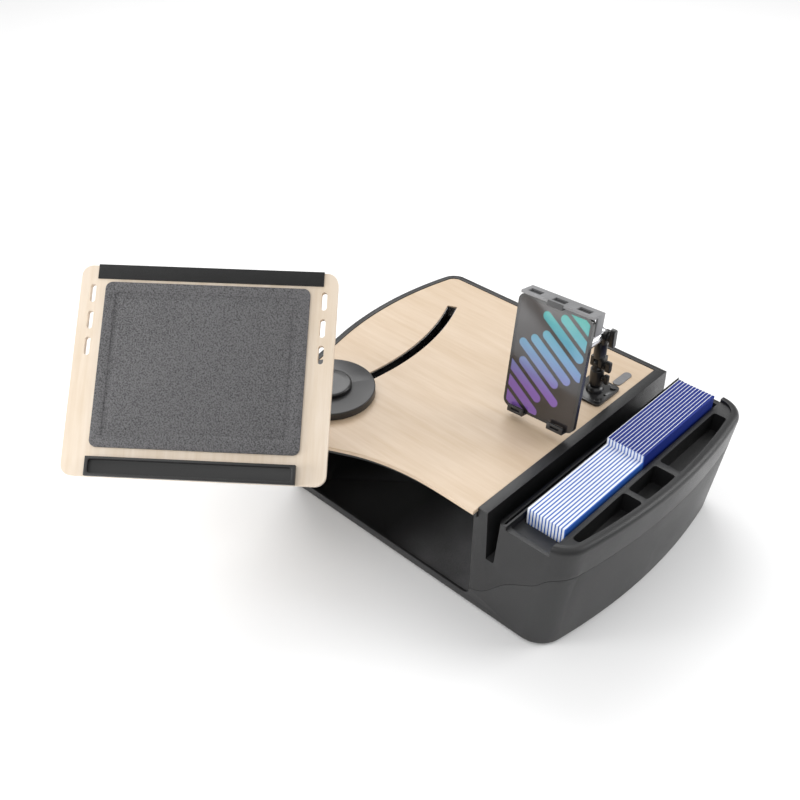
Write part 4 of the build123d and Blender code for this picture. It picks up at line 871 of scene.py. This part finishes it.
class SEATDESK_OT_stage(bpy.types.Operator):
    """Camera, pale floor and soft studio light."""

    bl_idname = "seatdesk.stage"
    bl_label = "Stage"

    def execute(self, context):
        look = context.scene.seat_desk_stage
        self.camera(context, look)
        self.floor(look)
        self.lights(context)
        context.scene.view_settings.view_transform = "Standard"
        return {"FINISHED"}

    def camera(self, context, look):
        """Camera at the viewing angle, with its small roll."""
        right = Vector((math.cos(look.azimuth), math.sin(look.azimuth), 0))
        flat = Vector((-math.sin(look.azimuth), math.cos(look.azimuth), 0))
        forward = flat * math.cos(look.elevation) - Vector((0, 0, math.sin(look.elevation)))
        up = right.cross(forward)
        roll_right = right * math.cos(look.roll) + up * math.sin(look.roll)
        roll_up = up * math.cos(look.roll) - right * math.sin(look.roll)
        turned = axes_matrix(Vector(look.place), roll_right, roll_up, -forward)
        bpy.ops.object.select_all(action="DESELECT")
        bpy.ops.object.camera_add(location=turned.translation, rotation=turned.to_euler())
        camera = context.object
        camera.name = "view_camera"
        camera.data.lens = look.lens
        camera.data.sensor_width = 36
        camera.data.clip_end = 50
        context.scene.camera = camera

    def floor(self, look):
        """Large plain floor."""
        bpy.ops.object.select_all(action="DESELECT")
        bpy.ops.mesh.primitive_plane_add(size=40, location=(0, 0, 0))
        floor = named("pale_floor")
        material, tree, shader = shader_start("Floor Paint", 0.9, specular=0.1)
        shader.inputs["Base Color"].default_value = (*look.floor, 1)
        floor.data.materials.append(material)

    def lights(self, context):
        """Surroundings that are brightest overhead, and four soft lights."""
        world = bpy.data.worlds.new("Studio")
        world.use_nodes = True
        world.node_tree.nodes["Background"].inputs["Color"].default_value = (1, 1, 1, 1)
        tree = world.node_tree
        coordinates = tree.nodes.new("ShaderNodeTexCoord")
        split = tree.nodes.new("ShaderNodeSeparateXYZ")
        tree.links.new(coordinates.outputs["Generated"], split.inputs[0])
        strength = map_range(tree, split.outputs["Z"], 0.05, 0.8, 0.25, 0.92)
        tree.links.new(strength, tree.nodes["Background"].inputs["Strength"])
        context.scene.world = world
        for place, size, power in LIGHTS:
            bpy.ops.object.select_all(action="DESELECT")
            bpy.ops.object.light_add(type="AREA", location=place)
            light = context.object
            light.data.size = size
            light.data.energy = power
            aim = LIGHT_AIM - Vector(place)
            light.rotation_euler = aim.to_track_quat("-Z", "Y").to_euler()


class SEATDESK_PT_panel(bpy.types.Panel):
    """Buttons for each piece."""

    bl_idname = "SEATDESK_PT_panel"
    bl_label = "Vehicle Seat Desk"
    bl_space_type = "VIEW_3D"
    bl_region_type = "UI"
    bl_category = "Seat Desk"

    def draw(self, context):
        for operator in OPERATORS:
            self.layout.operator(operator.bl_idname)


OPERATORS = (
    SEATDESK_OT_mouldings,
    SEATDESK_OT_desktop,
    SEATDESK_OT_disc,
    SEATDESK_OT_tray,
    SEATDESK_OT_holder,
    SEATDESK_OT_tablet,
    SEATDESK_OT_files,
    SEATDESK_OT_stage,
)
GROUPS = (SeatDeskMouldings, SeatDeskWood, SeatDeskStage)
CLASSES = GROUPS + OPERATORS + (SEATDESK_PT_panel,)


def register():
    """Registers the classes and the scene's settings."""
    for item in CLASSES:
        bpy.utils.register_class(item)
    bpy.types.Scene.seat_desk_mouldings = bpy.props.PointerProperty(type=SeatDeskMouldings)
    bpy.types.Scene.seat_desk_wood = bpy.props.PointerProperty(type=SeatDeskWood)
    bpy.types.Scene.seat_desk_stage = bpy.props.PointerProperty(type=SeatDeskStage)


def unregister():
    """Takes the settings and classes away again."""
    del bpy.types.Scene.seat_desk_mouldings
    del bpy.types.Scene.seat_desk_wood
    del bpy.types.Scene.seat_desk_stage
    for item in reversed(CLASSES):
        bpy.utils.unregister_class(item)


def main():
    """Builds every piece in order."""
    register()
    bpy.ops.seatdesk.mouldings()
    bpy.ops.seatdesk.desktop()
    bpy.ops.seatdesk.disc()
    bpy.ops.seatdesk.tray()
    bpy.ops.seatdesk.holder()
    bpy.ops.seatdesk.tablet()
    bpy.ops.seatdesk.files()
    bpy.ops.seatdesk.stage()


if __name__ == "__main__":
    main()
